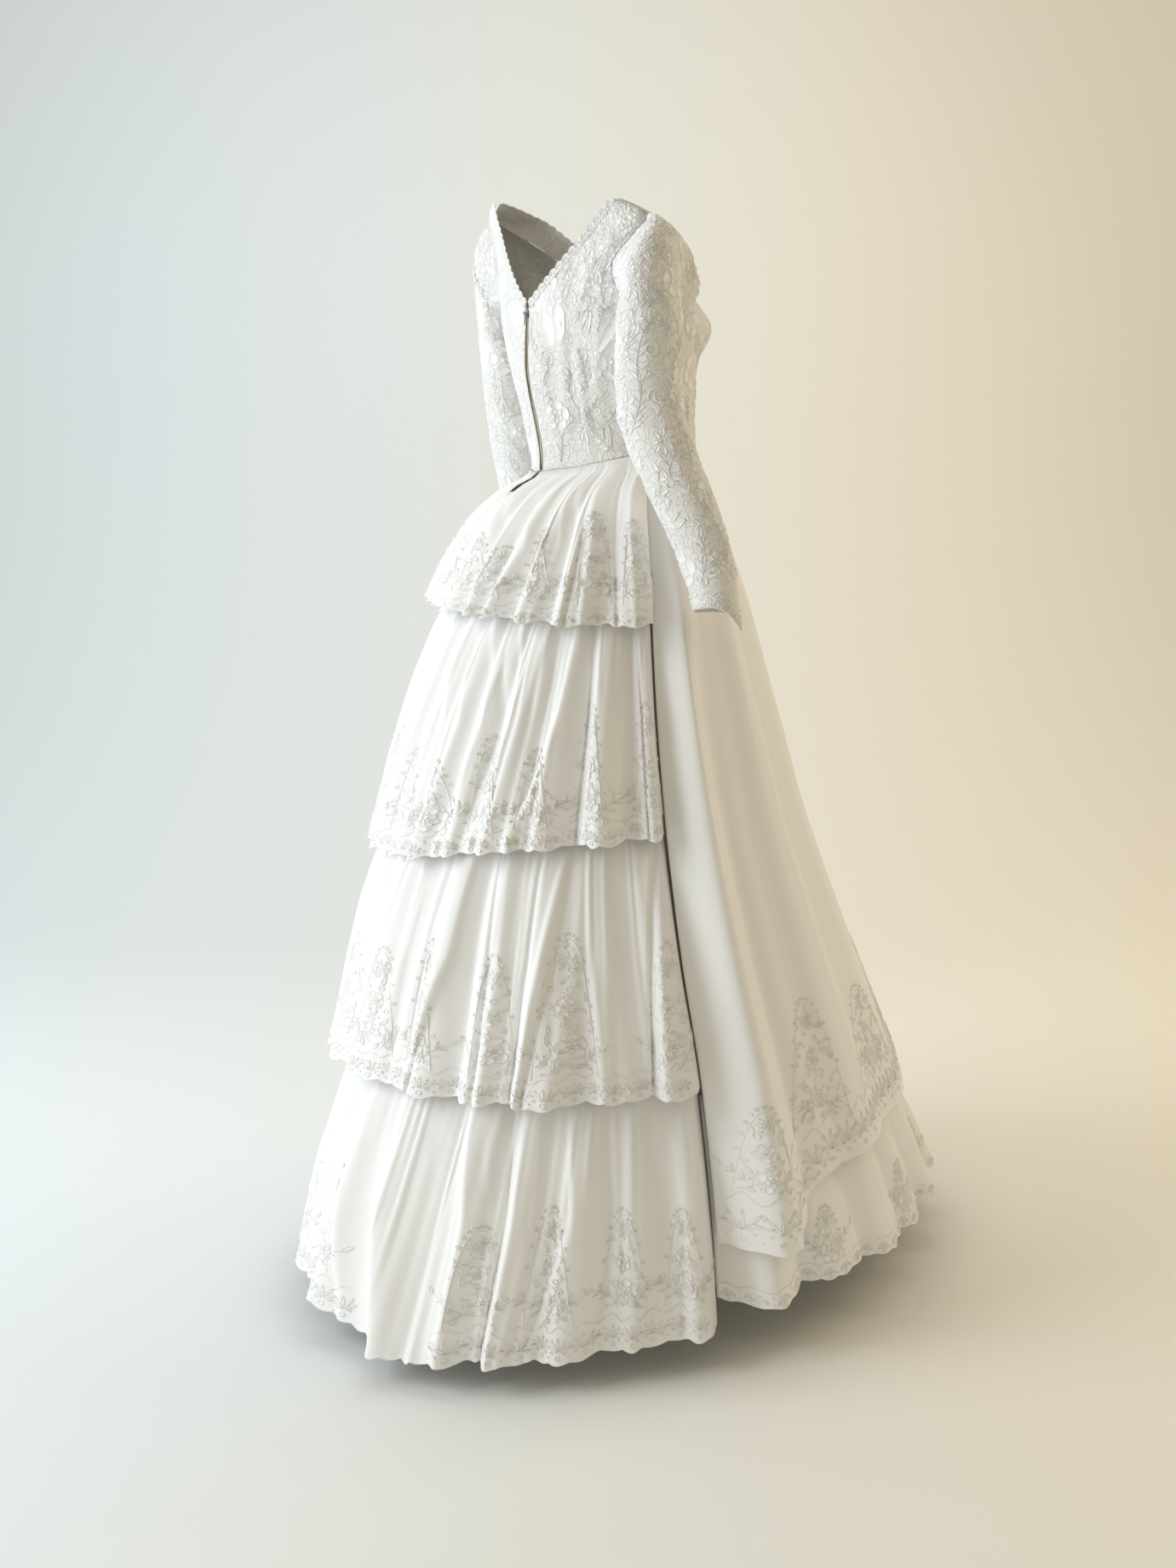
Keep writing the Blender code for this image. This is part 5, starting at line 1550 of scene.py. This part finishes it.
def neck_surface(front, sign):
    """Half a neckline's strip: u is metres from its lowest point, v metres in from the edge."""
    panel = panel_surface(front, sign)
    top = LOWER_ROWS + ARM_ROWS
    us, vs = np.linspace(0, 4, 33), np.linspace(0, top, 105)
    u, v = (a.ravel() for a in np.meshgrid(us, vs))
    tree = BVHTree.FromPolygons([tuple(p) for p in panel.shape(u, v)], grid(len(vs), len(us)))
    edge_rows = np.linspace(LOWER_ROWS, top, 161)
    line = panel.plain(np.zeros_like(edge_rows), edge_rows)
    lengths = np.concatenate([[0], np.cumsum(np.linalg.norm(np.diff(line, axis=0), axis=1))])
    way = level(np.gradient(line, axis=0))
    if front:
        way[0] = (sign, 0, 0)
    normal = np.array([tree.find_nearest(Vector(p))[1] for p in line])
    centre = np.array((0.0, 0.01, 0.0))
    facing = np.sum(normal * (line - centre) * (1, 1, 0), axis=1) > 0
    normal = level(normal * np.where(facing, 1, -1)[:, None])
    inward = level(np.cross(way, normal))
    pointing = inward[:, 0] * sign - inward[:, 2] > 0
    inward = inward * np.where(pointing, 1, -1)[:, None]

    def read(values, u):
        return np.stack([np.interp(u, lengths, values[:, k]) for k in range(3)], 1)

    def shape(u, v):
        p, way_in, out = read(line, u), read(inward, u), level(read(normal, u))
        off = SHEET_WALL / 2 + EDGING_WALL / 2 + EDGING_GAP
        made = p + way_in * v[:, None] + out * off
        for n in np.nonzero(v > 0.0004)[0]:
            under, own = tree.find_nearest(Vector(p[n] + way_in[n] * v[n]))[:2]
            own = np.array(own)
            own = own if own @ out[n] > 0 else -own
            made[n] = np.array(under) + own * off
        if not front:
            made[:, 0] = sign * np.maximum(made[:, 0] * sign, 0.0012)
        return made

    side = -sign if front else sign
    return Surface(shape, shape, (0.0, -NECK_LOBE), (lengths[-1], NECK_STRIP_IN), side), lengths[-1]


def neck_edging(name, front, signs):
    """A strip along part of the neckline, and the lace on it, not yet made a mesh."""
    surfaces = [neck_surface(front, sign) for sign in signs]
    length = surfaces[0][1]
    scallops = round(length / NECK_SCALLOP)
    pitch = length / scallops
    us = np.linspace(0, length, scallops * 8 + 1)
    across = np.array((-1.0, -0.6, 0.0, 0.4, 0.8))
    points, faces, flat = [], [], []
    for n, (surface, _) in enumerate(surfaces):
        u, share = (a.ravel() for a in np.meshgrid(us, across))
        lobe = NECK_LOBE_LOW + (NECK_LOBE - NECK_LOBE_LOW) * np.abs(np.sin(np.pi * u / pitch))
        v = np.where(share < 0, share * lobe, share * NECK_STRIP_IN)
        first = n * len(u)
        points.append(surface.shape(u, v))
        turned = surface.side < 0
        faces += [tuple(i + first for i in f) for f in grid(len(across), len(us), turned=turned)]
        flat.append(np.stack([u * signs[n], v], 1))
    piece = new_piece(name, np.concatenate(points), faces, "lace_ground")
    flat = np.concatenate(flat)
    flat_map(piece, flat[:, 0], flat[:, 1])
    welded(piece)
    thickened(piece, EDGING_WALL)
    works = []
    for surface, _ in surfaces:
        work = LaceWork(surface)
        for n in range(scallops):
            middle = (n + 0.5) * pitch
            share = np.linspace(-0.5, 0.5, 9)
            lobe = NECK_LOBE_LOW + (NECK_LOBE - NECK_LOBE_LOW) * np.cos(np.pi * share)
            edge = np.stack([middle + share * pitch, 0.0006 - lobe], 1)
            rims = [cord(edge, 0.0012), cord(np.stack([edge[:, 0], edge[:, 1] + 0.0028], 1), 0.0009)]
            rims.append(moved(disc(0.0015, filled=False), middle, -0.0012))
            rims.append(moved(leaf(0.0052, 0.0030, 0.2, 8), middle, 0.0010, 0))
            side_leaf = leaf(0.0045, 0.0024, 0.4, 8)
            rims += [moved(side_leaf, middle, 0.0012, side * 52) for side in (-1, 1)]
            for rim in rims:
                faces_of = rim.faces if surface.side > 0 else rim.faces[:, ::-1]
                work.parts.append(Shape(rim.points, rim.rises + EDGING_WALL / 2, faces_of))
        works.append(work)
    return piece, works


def edging_lace(name, works):
    """The edging's lace; its surface is read in metres, so its steps are small."""
    points, faces, count = [], [], 0
    for work in works:
        whole = joined(work.parts)
        u, v = whole.points[:, 0], whole.points[:, 1]
        step = 0.0004
        surface = work.surface
        base = surface.shape(u, v)
        along_u = surface.shape(u + step, v) - surface.shape(u - step, v)
        along_v = surface.shape(u, v + step) - surface.shape(u, v - step)
        out = level(np.cross(along_u, along_v) * surface.side)
        points.append(base + out * whole.rises[:, None])
        faces.append(whole.faces + count)
        count += len(u)
    return new_piece(name, np.concatenate(points), np.concatenate(faces), "lace_thread")


# Zip


TAPE_SHOWN = 0.8  # the visible tape's share of its solid's wall
TOOTH_PITCH = 0.0021
TOOTH_WIDTH = 0.0026
TOOTH_HEIGHT = 0.0011
TOOTH_DEPTH = 0.0012
PULL_PIN = (0.0, 0.0999, -0.14)
SHARP_ANGLE = math.radians(40)


def tape_front(node, x, heights):
    """The y of a zip tape's outer face, read from its solid."""
    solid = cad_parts[node].data
    tree = BVHTree.FromPolygons([v.co for v in solid.vertices], [p.vertices for p in solid.polygons])
    hits = [tree.ray_cast(Vector((x, 1, z)), Vector((0, -1, 0)))[0] for z in heights]
    met = [(z, hit.y) for z, hit in zip(heights, hits) if hit]
    met.sort()
    return np.interp(heights, [z for z, _ in met], [y for _, y in met])


def zip_tape(node, sign):
    """A woven tape with its outer face where its solid has it."""
    low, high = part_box(node)
    inner, outer = sorted((abs(low.x), abs(high.x)))
    heights = np.linspace(high.z - 0.0002, low.z + 0.0002, 90)
    xs = np.linspace(inner + 0.0001, outer - 0.0001, 7)
    points, u, v = [], [], []
    for x in xs:
        ys = tape_front(node, x * sign, heights)
        for y, z in zip(ys, heights):
            points.append((x * sign, y - TAPE / 2, z))
            u.append(x)
            v.append(z)
    faces = grid(len(xs), len(heights), turned=sign < 0)
    piece = new_piece(node + "_woven", points, faces, "tape")
    flat_map(piece, np.array(u), np.array(v))
    thickened(piece, TAPE * TAPE_SHOWN)
    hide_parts(node)
    return piece


def settled(piece):
    """Puts a modelled piece's place into its mesh."""
    only(piece)
    bpy.ops.object.transform_apply(location=True, rotation=True, scale=True)


def soft_block(name, low, high, bevel, segments=2):
    """A block between two corners with bevelled edges."""
    middle = (Vector(low) + Vector(high)) / 2
    size = Vector(high) - Vector(low)
    bpy.ops.object.select_all(action="DESELECT")
    bpy.ops.mesh.primitive_cube_add(size=1, location=middle)
    piece = bpy.context.object
    piece.name = name
    piece.scale = size
    settled(piece)
    bpy.ops.object.mode_set(mode="EDIT")
    bpy.ops.mesh.select_all(action="SELECT")
    bpy.ops.mesh.bevel(offset=bevel, segments=segments, affect="EDGES")
    bpy.ops.object.mode_set(mode="OBJECT")
    return piece


def merged(name, pieces, material_name):
    """One piece from several modelled ones."""
    bpy.ops.object.select_all(action="DESELECT")
    for piece in pieces:
        piece.select_set(True)
    bpy.context.view_layer.objects.active = pieces[0]
    bpy.ops.object.join()
    piece = bpy.context.object
    piece.name = name
    piece.data.materials.clear()
    piece.data.materials.append(bpy.data.materials[material_name])
    bpy.ops.object.shade_smooth_by_angle(angle=SHARP_ANGLE)
    return piece


def zip_teeth():
    """Two rows of teeth that mesh on the centre line, each seated on its own tape."""
    tooth = soft_block("tooth", (-TOOTH_WIDTH / 2, 0, -TOOTH_HEIGHT / 2),
                       (TOOTH_WIDTH / 2, TOOTH_DEPTH, TOOTH_HEIGHT / 2), 0.00025, 1)
    corners = np.array([tuple(v.co) for v in tooth.data.vertices])
    sides = [tuple(p.vertices) for p in tooth.data.polygons]
    bpy.data.objects.remove(tooth)
    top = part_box("zip_slider")[0].z - 0.0006
    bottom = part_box("zip_tape_left")[0].z + 0.004
    points, faces = [], []
    for sign, node in ((1, "zip_tape_left"), (-1, "zip_tape_right")):
        heights = np.arange(top - (0 if sign > 0 else TOOTH_PITCH / 2), bottom, -TOOTH_PITCH)
        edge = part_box(node)[0 if sign > 0 else 1].x
        ys = tape_front(node, edge + sign * 0.0002, heights)
        for y, z in zip(ys, heights):
            first = sum(len(p) for p in points)
            points.append(corners + (edge + sign * (TOOTH_WIDTH / 2 - 0.0015), y - 0.0001, z))
            faces += [tuple(i + first for i in side) for side in sides]
    new_piece("zip_teeth", np.concatenate(points), faces, "zip_teeth_metal")


def slider_pieces():
    """The slider's body, narrower at its foot, its bridge and its pin."""
    low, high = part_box("zip_slider")
    body_high = high.y - 0.0034
    body = soft_block("slider_body", (low.x, low.y, low.z), (high.x, body_high, high.z), 0.0006, 3)
    for v in body.data.vertices:
        share = (v.co.z - low.z) / (high.z - low.z)
        v.co.x *= 0.70 + 0.30 * ease(share * 1.6)
        v.co.y -= 0.0006 * (1 - share)
    parts = [body]
    inner = high.x - 0.0011
    for side in (-1, 1):
        x_low, x_high = sorted((side * inner, side * (high.x - 0.0001)))
        parts.append(soft_block("lug", (x_low, body_high - 0.0006, high.z - 0.0046),
                                (x_high, high.y - 0.0002, high.z - 0.0019), 0.0003))
    bpy.ops.object.select_all(action="DESELECT")
    bpy.ops.mesh.primitive_cylinder_add(
        vertices=20, radius=0.0005, depth=high.x * 2 - 0.0006,
        location=PULL_PIN, rotation=(0, math.pi / 2, 0))
    settled(bpy.context.object)
    parts.append(bpy.context.object)
    return parts


def pull_tab_parts():
    """The tab: an eye round the pin and a blade with a rounded window."""
    low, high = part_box("zip_pull_tab")
    _, y, z = PULL_PIN
    bpy.ops.object.select_all(action="DESELECT")
    bpy.ops.mesh.primitive_torus_add(
        major_radius=0.00115, minor_radius=0.00028, major_segments=24, minor_segments=10,
        location=PULL_PIN, rotation=(0, math.pi / 2, 0))
    eye = bpy.context.object
    eye.scale = (1, 1, 3.4)
    settled(eye)
    half = (high.x - low.x) / 2
    thick = 0.0005
    blade = soft_block("blade", (-half, y - thick, low.z), (half, y + thick, z - 0.0011), 0.00035, 3)
    window_low, window_high = low.z + 0.0016, low.z + 0.0062
    corners = ((-half * 0.5, y - 1, window_low), (half * 0.5, y + 1, window_high))
    window = soft_block("window", *corners, 0.0005, 3)
    only(blade)
    cut = blade.modifiers.new("window", "BOOLEAN")
    cut.operation = "DIFFERENCE"
    cut.object = window
    bpy.ops.object.modifier_apply(modifier=cut.name)
    bpy.data.objects.remove(window)
    return [eye, blade]


# Settings


def length_setting(name, description, default):
    return bpy.props.FloatProperty(
        name=name, description=description, default=default,
        unit="LENGTH", subtype="DISTANCE", precision=5,
    )


def colour_setting(name, description, default):
    return bpy.props.FloatVectorProperty(
        name=name, description=description, default=default, size=3, min=0, max=1, subtype="COLOR"
    )


class GownSizes(bpy.types.PropertyGroup):
    wall: length_setting("Cloth thickness", "Wall of each visible cloth", SHEET_WALL)
    grid_step: bpy.props.FloatProperty(
        name="Skirt grid", description="Degrees between the columns of a tier's mesh", default=0.42
    )


class GownColours(bpy.types.PropertyGroup):
    lace: colour_setting("Lace", "The raised thread of the lace", (0.97, 0.965, 0.95))
    lining: colour_setting("Lining", "The lining under the lace", (0.83, 0.82, 0.79))
    organza: colour_setting("Organza", "Tiers, overskirt and flounce", (0.90, 0.90, 0.895))
    underskirt: colour_setting("Underskirt", "The plain underskirt", (0.82, 0.82, 0.81))
    tape: colour_setting("Zip tape", "The woven tape", (0.78, 0.71, 0.56))
    metal: colour_setting("Zip metal", "Slider and pull tab", (0.20, 0.19, 0.18))
    teeth: colour_setting("Zip teeth", "The teeth", (0.66, 0.61, 0.50))
    # The floor's two colours are painted light: the cool window light's tint on one side of the floor
    # and backdrop, the warm light's tint on the other.
    floor: colour_setting("Floor", "Floor and backdrop on the window's side", (0.82, 0.90, 0.97))
    floor_warm_light_tint: colour_setting("Floor, warm side", "The other side of both", (0.92, 0.86, 0.74))
    cool: colour_setting("Window light", "The main light", (0.86, 0.93, 1.0))
    warm: colour_setting("Warm light", "The light from the other side", (1.0, 0.84, 0.60))


# Operators


class GOWN_OT_materials(bpy.types.Operator):
    """Makes the finishes: lace thread, lace on its lining, organza, taffeta, tape and metal"""

    bl_idname = "gown.materials"
    bl_label = "Make finishes"

    def execute(self, context):
        colours = context.scene.gown_colours
        for make_group in (weave_group, mottle_group, net_group, corded_group):
            make_group()
        lace_thread_material(tuple(colours.lace))
        lace_ground_material(tuple(colours.lace), tuple(colours.lining))
        organza_material(tuple(colours.organza), tuple(colours.lace))
        taffeta_material(tuple(colours.underskirt))
        tape_material(tuple(colours.tape))
        metal_material("zip_metal", tuple(colours.metal), 0.38)
        metal_material("zip_teeth_metal", tuple(colours.teeth), 0.42)
        return {"FINISHED"}


class GOWN_OT_bodice(bpy.types.Operator):
    """Makes the front and the two backs, with floral lace all over them"""

    bl_idname = "gown.bodice"
    bl_label = "Make bodice"

    def execute(self, context):
        top = LOWER_ROWS + ARM_ROWS
        us = np.linspace(0, PANEL_COLUMNS, 55)
        vs = np.linspace(0, top, 79)
        panels = (
            ("bodice_front", True, (1, -1), (0.38, 0.38), 0.75),
            ("bodice_back_left", False, (1,), (0.18, 0.36), 0.75),
            ("bodice_back_right", False, (-1,), (0.18, 0.36), 0.75),
        )
        for name, front, signs, flat, share in panels:
            surfaces = [panel_surface(front, sign) for sign in signs]
            turned = surfaces[0].side < 0
            piece = sheet_piece(name + "_cloth", surfaces, us, vs, "lace_ground", turned,
                                lace=lambda u, v: np.ones(len(u)), metres=(0.021, 0.030))
            thickened(piece, context.scene.gown_sizes.wall)
            works = []
            for n, surface in enumerate(surfaces):
                work = LaceWork(surface)
                all_over(work, (0.20, 0.36), (PANEL_COLUMNS, top), 100 + 10 * n + len(name))
                works.append(work)
            lace = lace_piece(name + "_lace", works)
            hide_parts(name)
        return {"FINISHED"}


class GOWN_OT_sleeves(bpy.types.Operator):
    """Makes the two long sleeves with pointed cuffs"""

    bl_idname = "gown.sleeves"
    bl_label = "Make sleeves"

    def execute(self, context):
        us = np.arange(64) / 4
        vs = np.concatenate([np.linspace(0, 1, 9)[:-1], np.linspace(1, len(ARM), 96)])
        for name, left in (("sleeve_left", True), ("sleeve_right", False)):
            surface = sleeve_surface(left)
            piece = sheet_piece(name + "_cloth", [surface], us, vs, "lace_ground",
                                surface.side < 0, closed=True, lace=lambda u, v: np.ones(len(u)),
                                metres=SLEEVE_STEP)
            thickened(piece, context.scene.gown_sizes.wall)
            work = LaceWork(surface)
            all_over(work, (0.27, 0.49), (16, len(ARM) - 0.25), 300 + left)
            for n in range(16):
                work.lay(border_unit(0.0125, 0.020), [(n, len(ARM), 0, 1, False)])
            lace = lace_piece(name + "_lace", [work])
            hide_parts(name)
        return {"FINISHED"}


class GOWN_OT_neck_edgings(bpy.types.Operator):
    """Makes the scalloped lace strips round the neckline"""

    bl_idname = "gown.neck_edgings"
    bl_label = "Make neck edgings"

    def execute(self, context):
        strips = (
            ("neck_edging_front", True, (1, -1), 0.46),
            ("neck_edging_back_left", False, (1,), 0.20),
            ("neck_edging_back_right", False, (-1,), 0.20),
        )
        for name, front, signs, length in strips:
            piece, works = neck_edging(name + "_strip", front, signs)
            lace = edging_lace(name + "_lace", works)
            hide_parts(name)
        return {"FINISHED"}


class GOWN_OT_underskirt(bpy.types.Operator):
    """Makes the plain underskirt with its slit for the zip"""

    bl_idname = "gown.underskirt"
    bl_label = "Make underskirt"

    def execute(self, context):
        us = np.arange(-180, 180, PLACKET_TURN / 2)
        slit_rows = 4
        slit_end = 0.055
        above = np.linspace(0, slit_end, slit_rows + 1)[:-1]
        vs = np.concatenate([above, np.linspace(slit_end, 1, 46)])
        open_columns = [c for c, u in enumerate(us) if -PLACKET_TURN <= u < PLACKET_TURN]
        slit = {(r, c) for r in range(slit_rows) for c in open_columns}
        piece = sheet_piece("underskirt_cloth", [underskirt_surface()], us, vs, "taffeta",
                            True, closed=True, left_out=slit, metres=(0.006, -1.1))
        thickened(piece, context.scene.gown_sizes.wall)
        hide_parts("underskirt")
        return {"FINISHED"}


def layer_columns(layer, step):
    surface = layer_surface(layer)
    low, high = surface.low[0], surface.high[0]
    return np.linspace(low, high, max(8, round((high - low) / step)) + 1)


HEM_ROWS = (0.012, 0.009, 0.006, 0.004, 0.0025, 0.0012, 0.0)  # metres from the hem


def layer_rows(layer, coarse):
    """Even rows with close ones at the rolled hem."""
    length = layer_length(layer)
    close = 1 - np.array(HEM_ROWS) / length
    count = round((length - HEM_ROWS[0]) / coarse)
    return np.concatenate([np.linspace(0, close[0], count)[:-1], close])


def make_layer(context, layer, step, coarse):
    """A skirt layer: step is degrees between its columns and coarse metres between rows."""
    us, vs = layer_columns(layer, step), layer_rows(layer, coarse)
    left_out = set()
    if layer.name == "tier_1":
        placket = math.degrees(math.asin(PLACKET_HALF_GAP / SKIRT[0].half_width))
        for edge in (-placket, placket):
            us[np.argmin(np.abs(us - edge))] = edge
        drop = PLACKET_DEPTH / (waist_height(0) - hem_height(layer.hem, 0))
        reach = placket + 0.01
        inside = [c for c in range(len(us) - 1) if us[c] > -reach and us[c + 1] < reach]
        left_out = {(r, c) for r in range(len(vs) - 1) if vs[r + 1] <= drop for c in inside}
    surface = layer_surface(layer)
    metres = (radius_at(layer, 0.5 * (us[0] + us[-1])), -layer_length(layer))
    piece = sheet_piece(layer.name + "_cloth", [surface], us, vs, "organza", True,
                        lace=layer_mask(layer), left_out=left_out, metres=metres)
    thickened(piece, context.scene.gown_sizes.wall)
    lace = lace_piece(layer.name + "_lace", [layer_lace(layer)])
    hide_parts(layer.name)


class GOWN_OT_tiers(bpy.types.Operator):
    """Makes the four gathered tiers of the back skirt"""

    bl_idname = "gown.tiers"
    bl_label = "Make tiers"

    def execute(self, context):
        step = context.scene.gown_sizes.grid_step
        make_layer(context, TIERS[0], step * 1.15, 0.0085)
        make_layer(context, TIERS[1], step, 0.0110)
        make_layer(context, TIERS[2], step, 0.0115)
        make_layer(context, TIERS[3], step * 0.85, 0.0120)
        return {"FINISHED"}


class GOWN_OT_front_skirt(bpy.types.Operator):
    """Makes the plain front overskirt and the flounce under its hem"""

    bl_idname = "gown.front_skirt"
    bl_label = "Make front skirt"

    def execute(self, context):
        make_layer(context, FRONT_OVERSKIRT, 0.85, 0.0170)
        make_layer(context, FRONT_FLOUNCE, 0.66, 0.0100)
        return {"FINISHED"}


class GOWN_OT_zip(bpy.types.Operator):
    """Makes the zip: tapes, teeth, slider and its pull tab"""

    bl_idname = "gown.zip"
    bl_label = "Make zip"

    def execute(self, context):
        for node, sign in (("zip_tape_left", 1), ("zip_tape_right", -1)):
            piece = zip_tape(node, sign)
        zip_teeth()
        slider = merged("zip_slider_body", slider_pieces(), "zip_metal")
        tab = merged("zip_pull_tab_blade", pull_tab_parts(), "zip_metal")
        for piece, node, body in ((slider, "zip_slider", BODY), (tab, "zip_pull_tab", "pull_tab")):
            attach(piece, body)
            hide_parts(node)
        return {"FINISHED"}


# Stage and camera

VIEW_TURN = math.radians(54)  # the camera's way round from straight behind
CAMERA_REACH = 2.05
CAMERA_HEIGHT = 0.99
CAMERA_FALL = 0.1505  # how far its line of sight drops in a metre
CAMERA_LENS = 34.53
SENSOR_WIDTH = 36.0
FLOOR_SIZE = 9.0  # half the floor's side
WALL_DISTANCE = 1.7  # where the floor starts to curve up
WALL_BEND = 1.8  # the curve's radius
# The floor's tone changes by painted light, cool on the window light's side and warm on the warm
# light's side.
LIGHT_TINT_REACH = 1.7  # how far to each side the floor's tone changes
WORLD_COLOUR = (1.0, 0.89, 0.69, 1)
WORLD_STRENGTH = 0.42
WALL_LIGHT_COLOUR = (0.93, 0.97, 1.0)


def area_light(name, place, aim, size, energy, colour):
    data = bpy.data.lights.new(name, "AREA")
    data.shape = "RECTANGLE"
    data.size, data.size_y = size
    data.energy = energy
    data.color = colour
    light = bpy.data.objects.new(name, data)
    bpy.context.scene.collection.objects.link(light)
    light.location = place
    light.rotation_euler = (Vector(aim) - Vector(place)).to_track_quat("-Z", "Y").to_euler()


class GOWN_OT_stage(bpy.types.Operator):
    """Makes the pale floor and backdrop, the soft light and the camera"""

    bl_idname = "gown.stage"
    bl_label = "Make stage"

    def execute(self, context):
        colours = context.scene.gown_colours
        floor_z = -SHOULDER_HEIGHT
        ahead = Vector((math.sin(VIEW_TURN), -math.cos(VIEW_TURN), 0))
        right = ahead.cross(Vector((0, 0, 1)))
        bpy.ops.object.select_all(action="DESELECT")
        bpy.ops.mesh.primitive_grid_add(x_subdivisions=2, y_subdivisions=64, size=2)
        floor = bpy.context.object
        floor.name = "floor"
        arc = WALL_BEND * math.pi / 2
        for v in floor.data.vertices:
            side, run = v.co.x * FLOOR_SIZE, (v.co.y + 1) * FLOOR_SIZE - FLOOR_SIZE
            bend = min(max((run - WALL_DISTANCE) / arc, 0), 1) * math.pi / 2
            past = max(run - WALL_DISTANCE - arc, 0)
            reach = min(run, WALL_DISTANCE) + WALL_BEND * math.sin(bend)
            height = floor_z + WALL_BEND * (1 - math.cos(bend)) + past
            v.co = ahead * reach + right * side + Vector((0, 0, height))
        # The floor's paint carries painted light: cool on the window's side, warm on the other.
        stage_material("floor_paint", tuple(colours.floor), tuple(colours.floor_warm_light_tint), right)
        floor.data.materials.append(bpy.data.materials["floor_paint"])
        floor.data.shade_smooth()

        def spot(to_right, further, up):
            """A place in metres from the middle of the gown."""
            return Vector((0, 0, -0.7)) + right * to_right + ahead * further + Vector((0, 0, up))

        upper = spot(0, 0, 0.3)
        area_light("window", spot(-2.7, -0.85, 1.1), upper, (2.0, 2.8), 74, tuple(colours.cool))
        area_light("warm_side", spot(2.4, 0.5, 1.5), upper, (1.6, 2.0), 18, tuple(colours.warm))
        area_light("wall_light", spot(0, 0.7, 2.4), spot(0, 3.0, 0), (3.6, 0.8), 30, WALL_LIGHT_COLOUR)
        world = bpy.data.worlds.new("soft_room")
        world.use_nodes = True
        background = world.node_tree.nodes["Background"]
        background.inputs["Color"].default_value = WORLD_COLOUR
        background.inputs["Strength"].default_value = WORLD_STRENGTH
        context.scene.world = world
        context.scene.view_settings.view_transform = "Standard"
        data = bpy.data.cameras.new("camera")
        data.lens = CAMERA_LENS
        data.sensor_width = SENSOR_WIDTH
        camera = bpy.data.objects.new("camera", data)
        context.scene.collection.objects.link(camera)
        camera.location = -ahead * CAMERA_REACH + Vector((0, 0, CAMERA_HEIGHT - SHOULDER_HEIGHT))
        sight = ahead - Vector((0, 0, CAMERA_FALL))
        camera.rotation_euler = sight.to_track_quat("-Z", "Y").to_euler()
        context.scene.camera = camera
        return {"FINISHED"}


class GOWN_PT_panel(bpy.types.Panel):
    """Lists the gown's steps, sizes and colours"""

    bl_idname = "GOWN_PT_panel"
    bl_label = "Lace Wedding Gown"
    bl_space_type = "VIEW_3D"
    bl_region_type = "UI"
    bl_category = "Gown"

    def draw(self, context):
        for step in STEPS:
            self.layout.operator(step.bl_idname)
        for settings in (context.scene.gown_sizes, context.scene.gown_colours):
            for name in settings.__annotations__:
                self.layout.prop(settings, name)


STEPS = (
    GOWN_OT_materials,
    GOWN_OT_bodice,
    GOWN_OT_sleeves,
    GOWN_OT_neck_edgings,
    GOWN_OT_underskirt,
    GOWN_OT_tiers,
    GOWN_OT_front_skirt,
    GOWN_OT_zip,
    GOWN_OT_stage,
)
CLASSES = (GownSizes, GownColours, *STEPS, GOWN_PT_panel)


def register():
    for cls in CLASSES:
        bpy.utils.register_class(cls)
    bpy.types.Scene.gown_sizes = bpy.props.PointerProperty(type=GownSizes)
    bpy.types.Scene.gown_colours = bpy.props.PointerProperty(type=GownColours)


def unregister():
    del bpy.types.Scene.gown_colours
    del bpy.types.Scene.gown_sizes
    for cls in reversed(CLASSES):
        bpy.utils.unregister_class(cls)


def main():
    register()
    for step in STEPS:
        area, name = step.bl_idname.split(".")
        getattr(getattr(bpy.ops, area), name)()


if __name__ == "__main__":
    main()
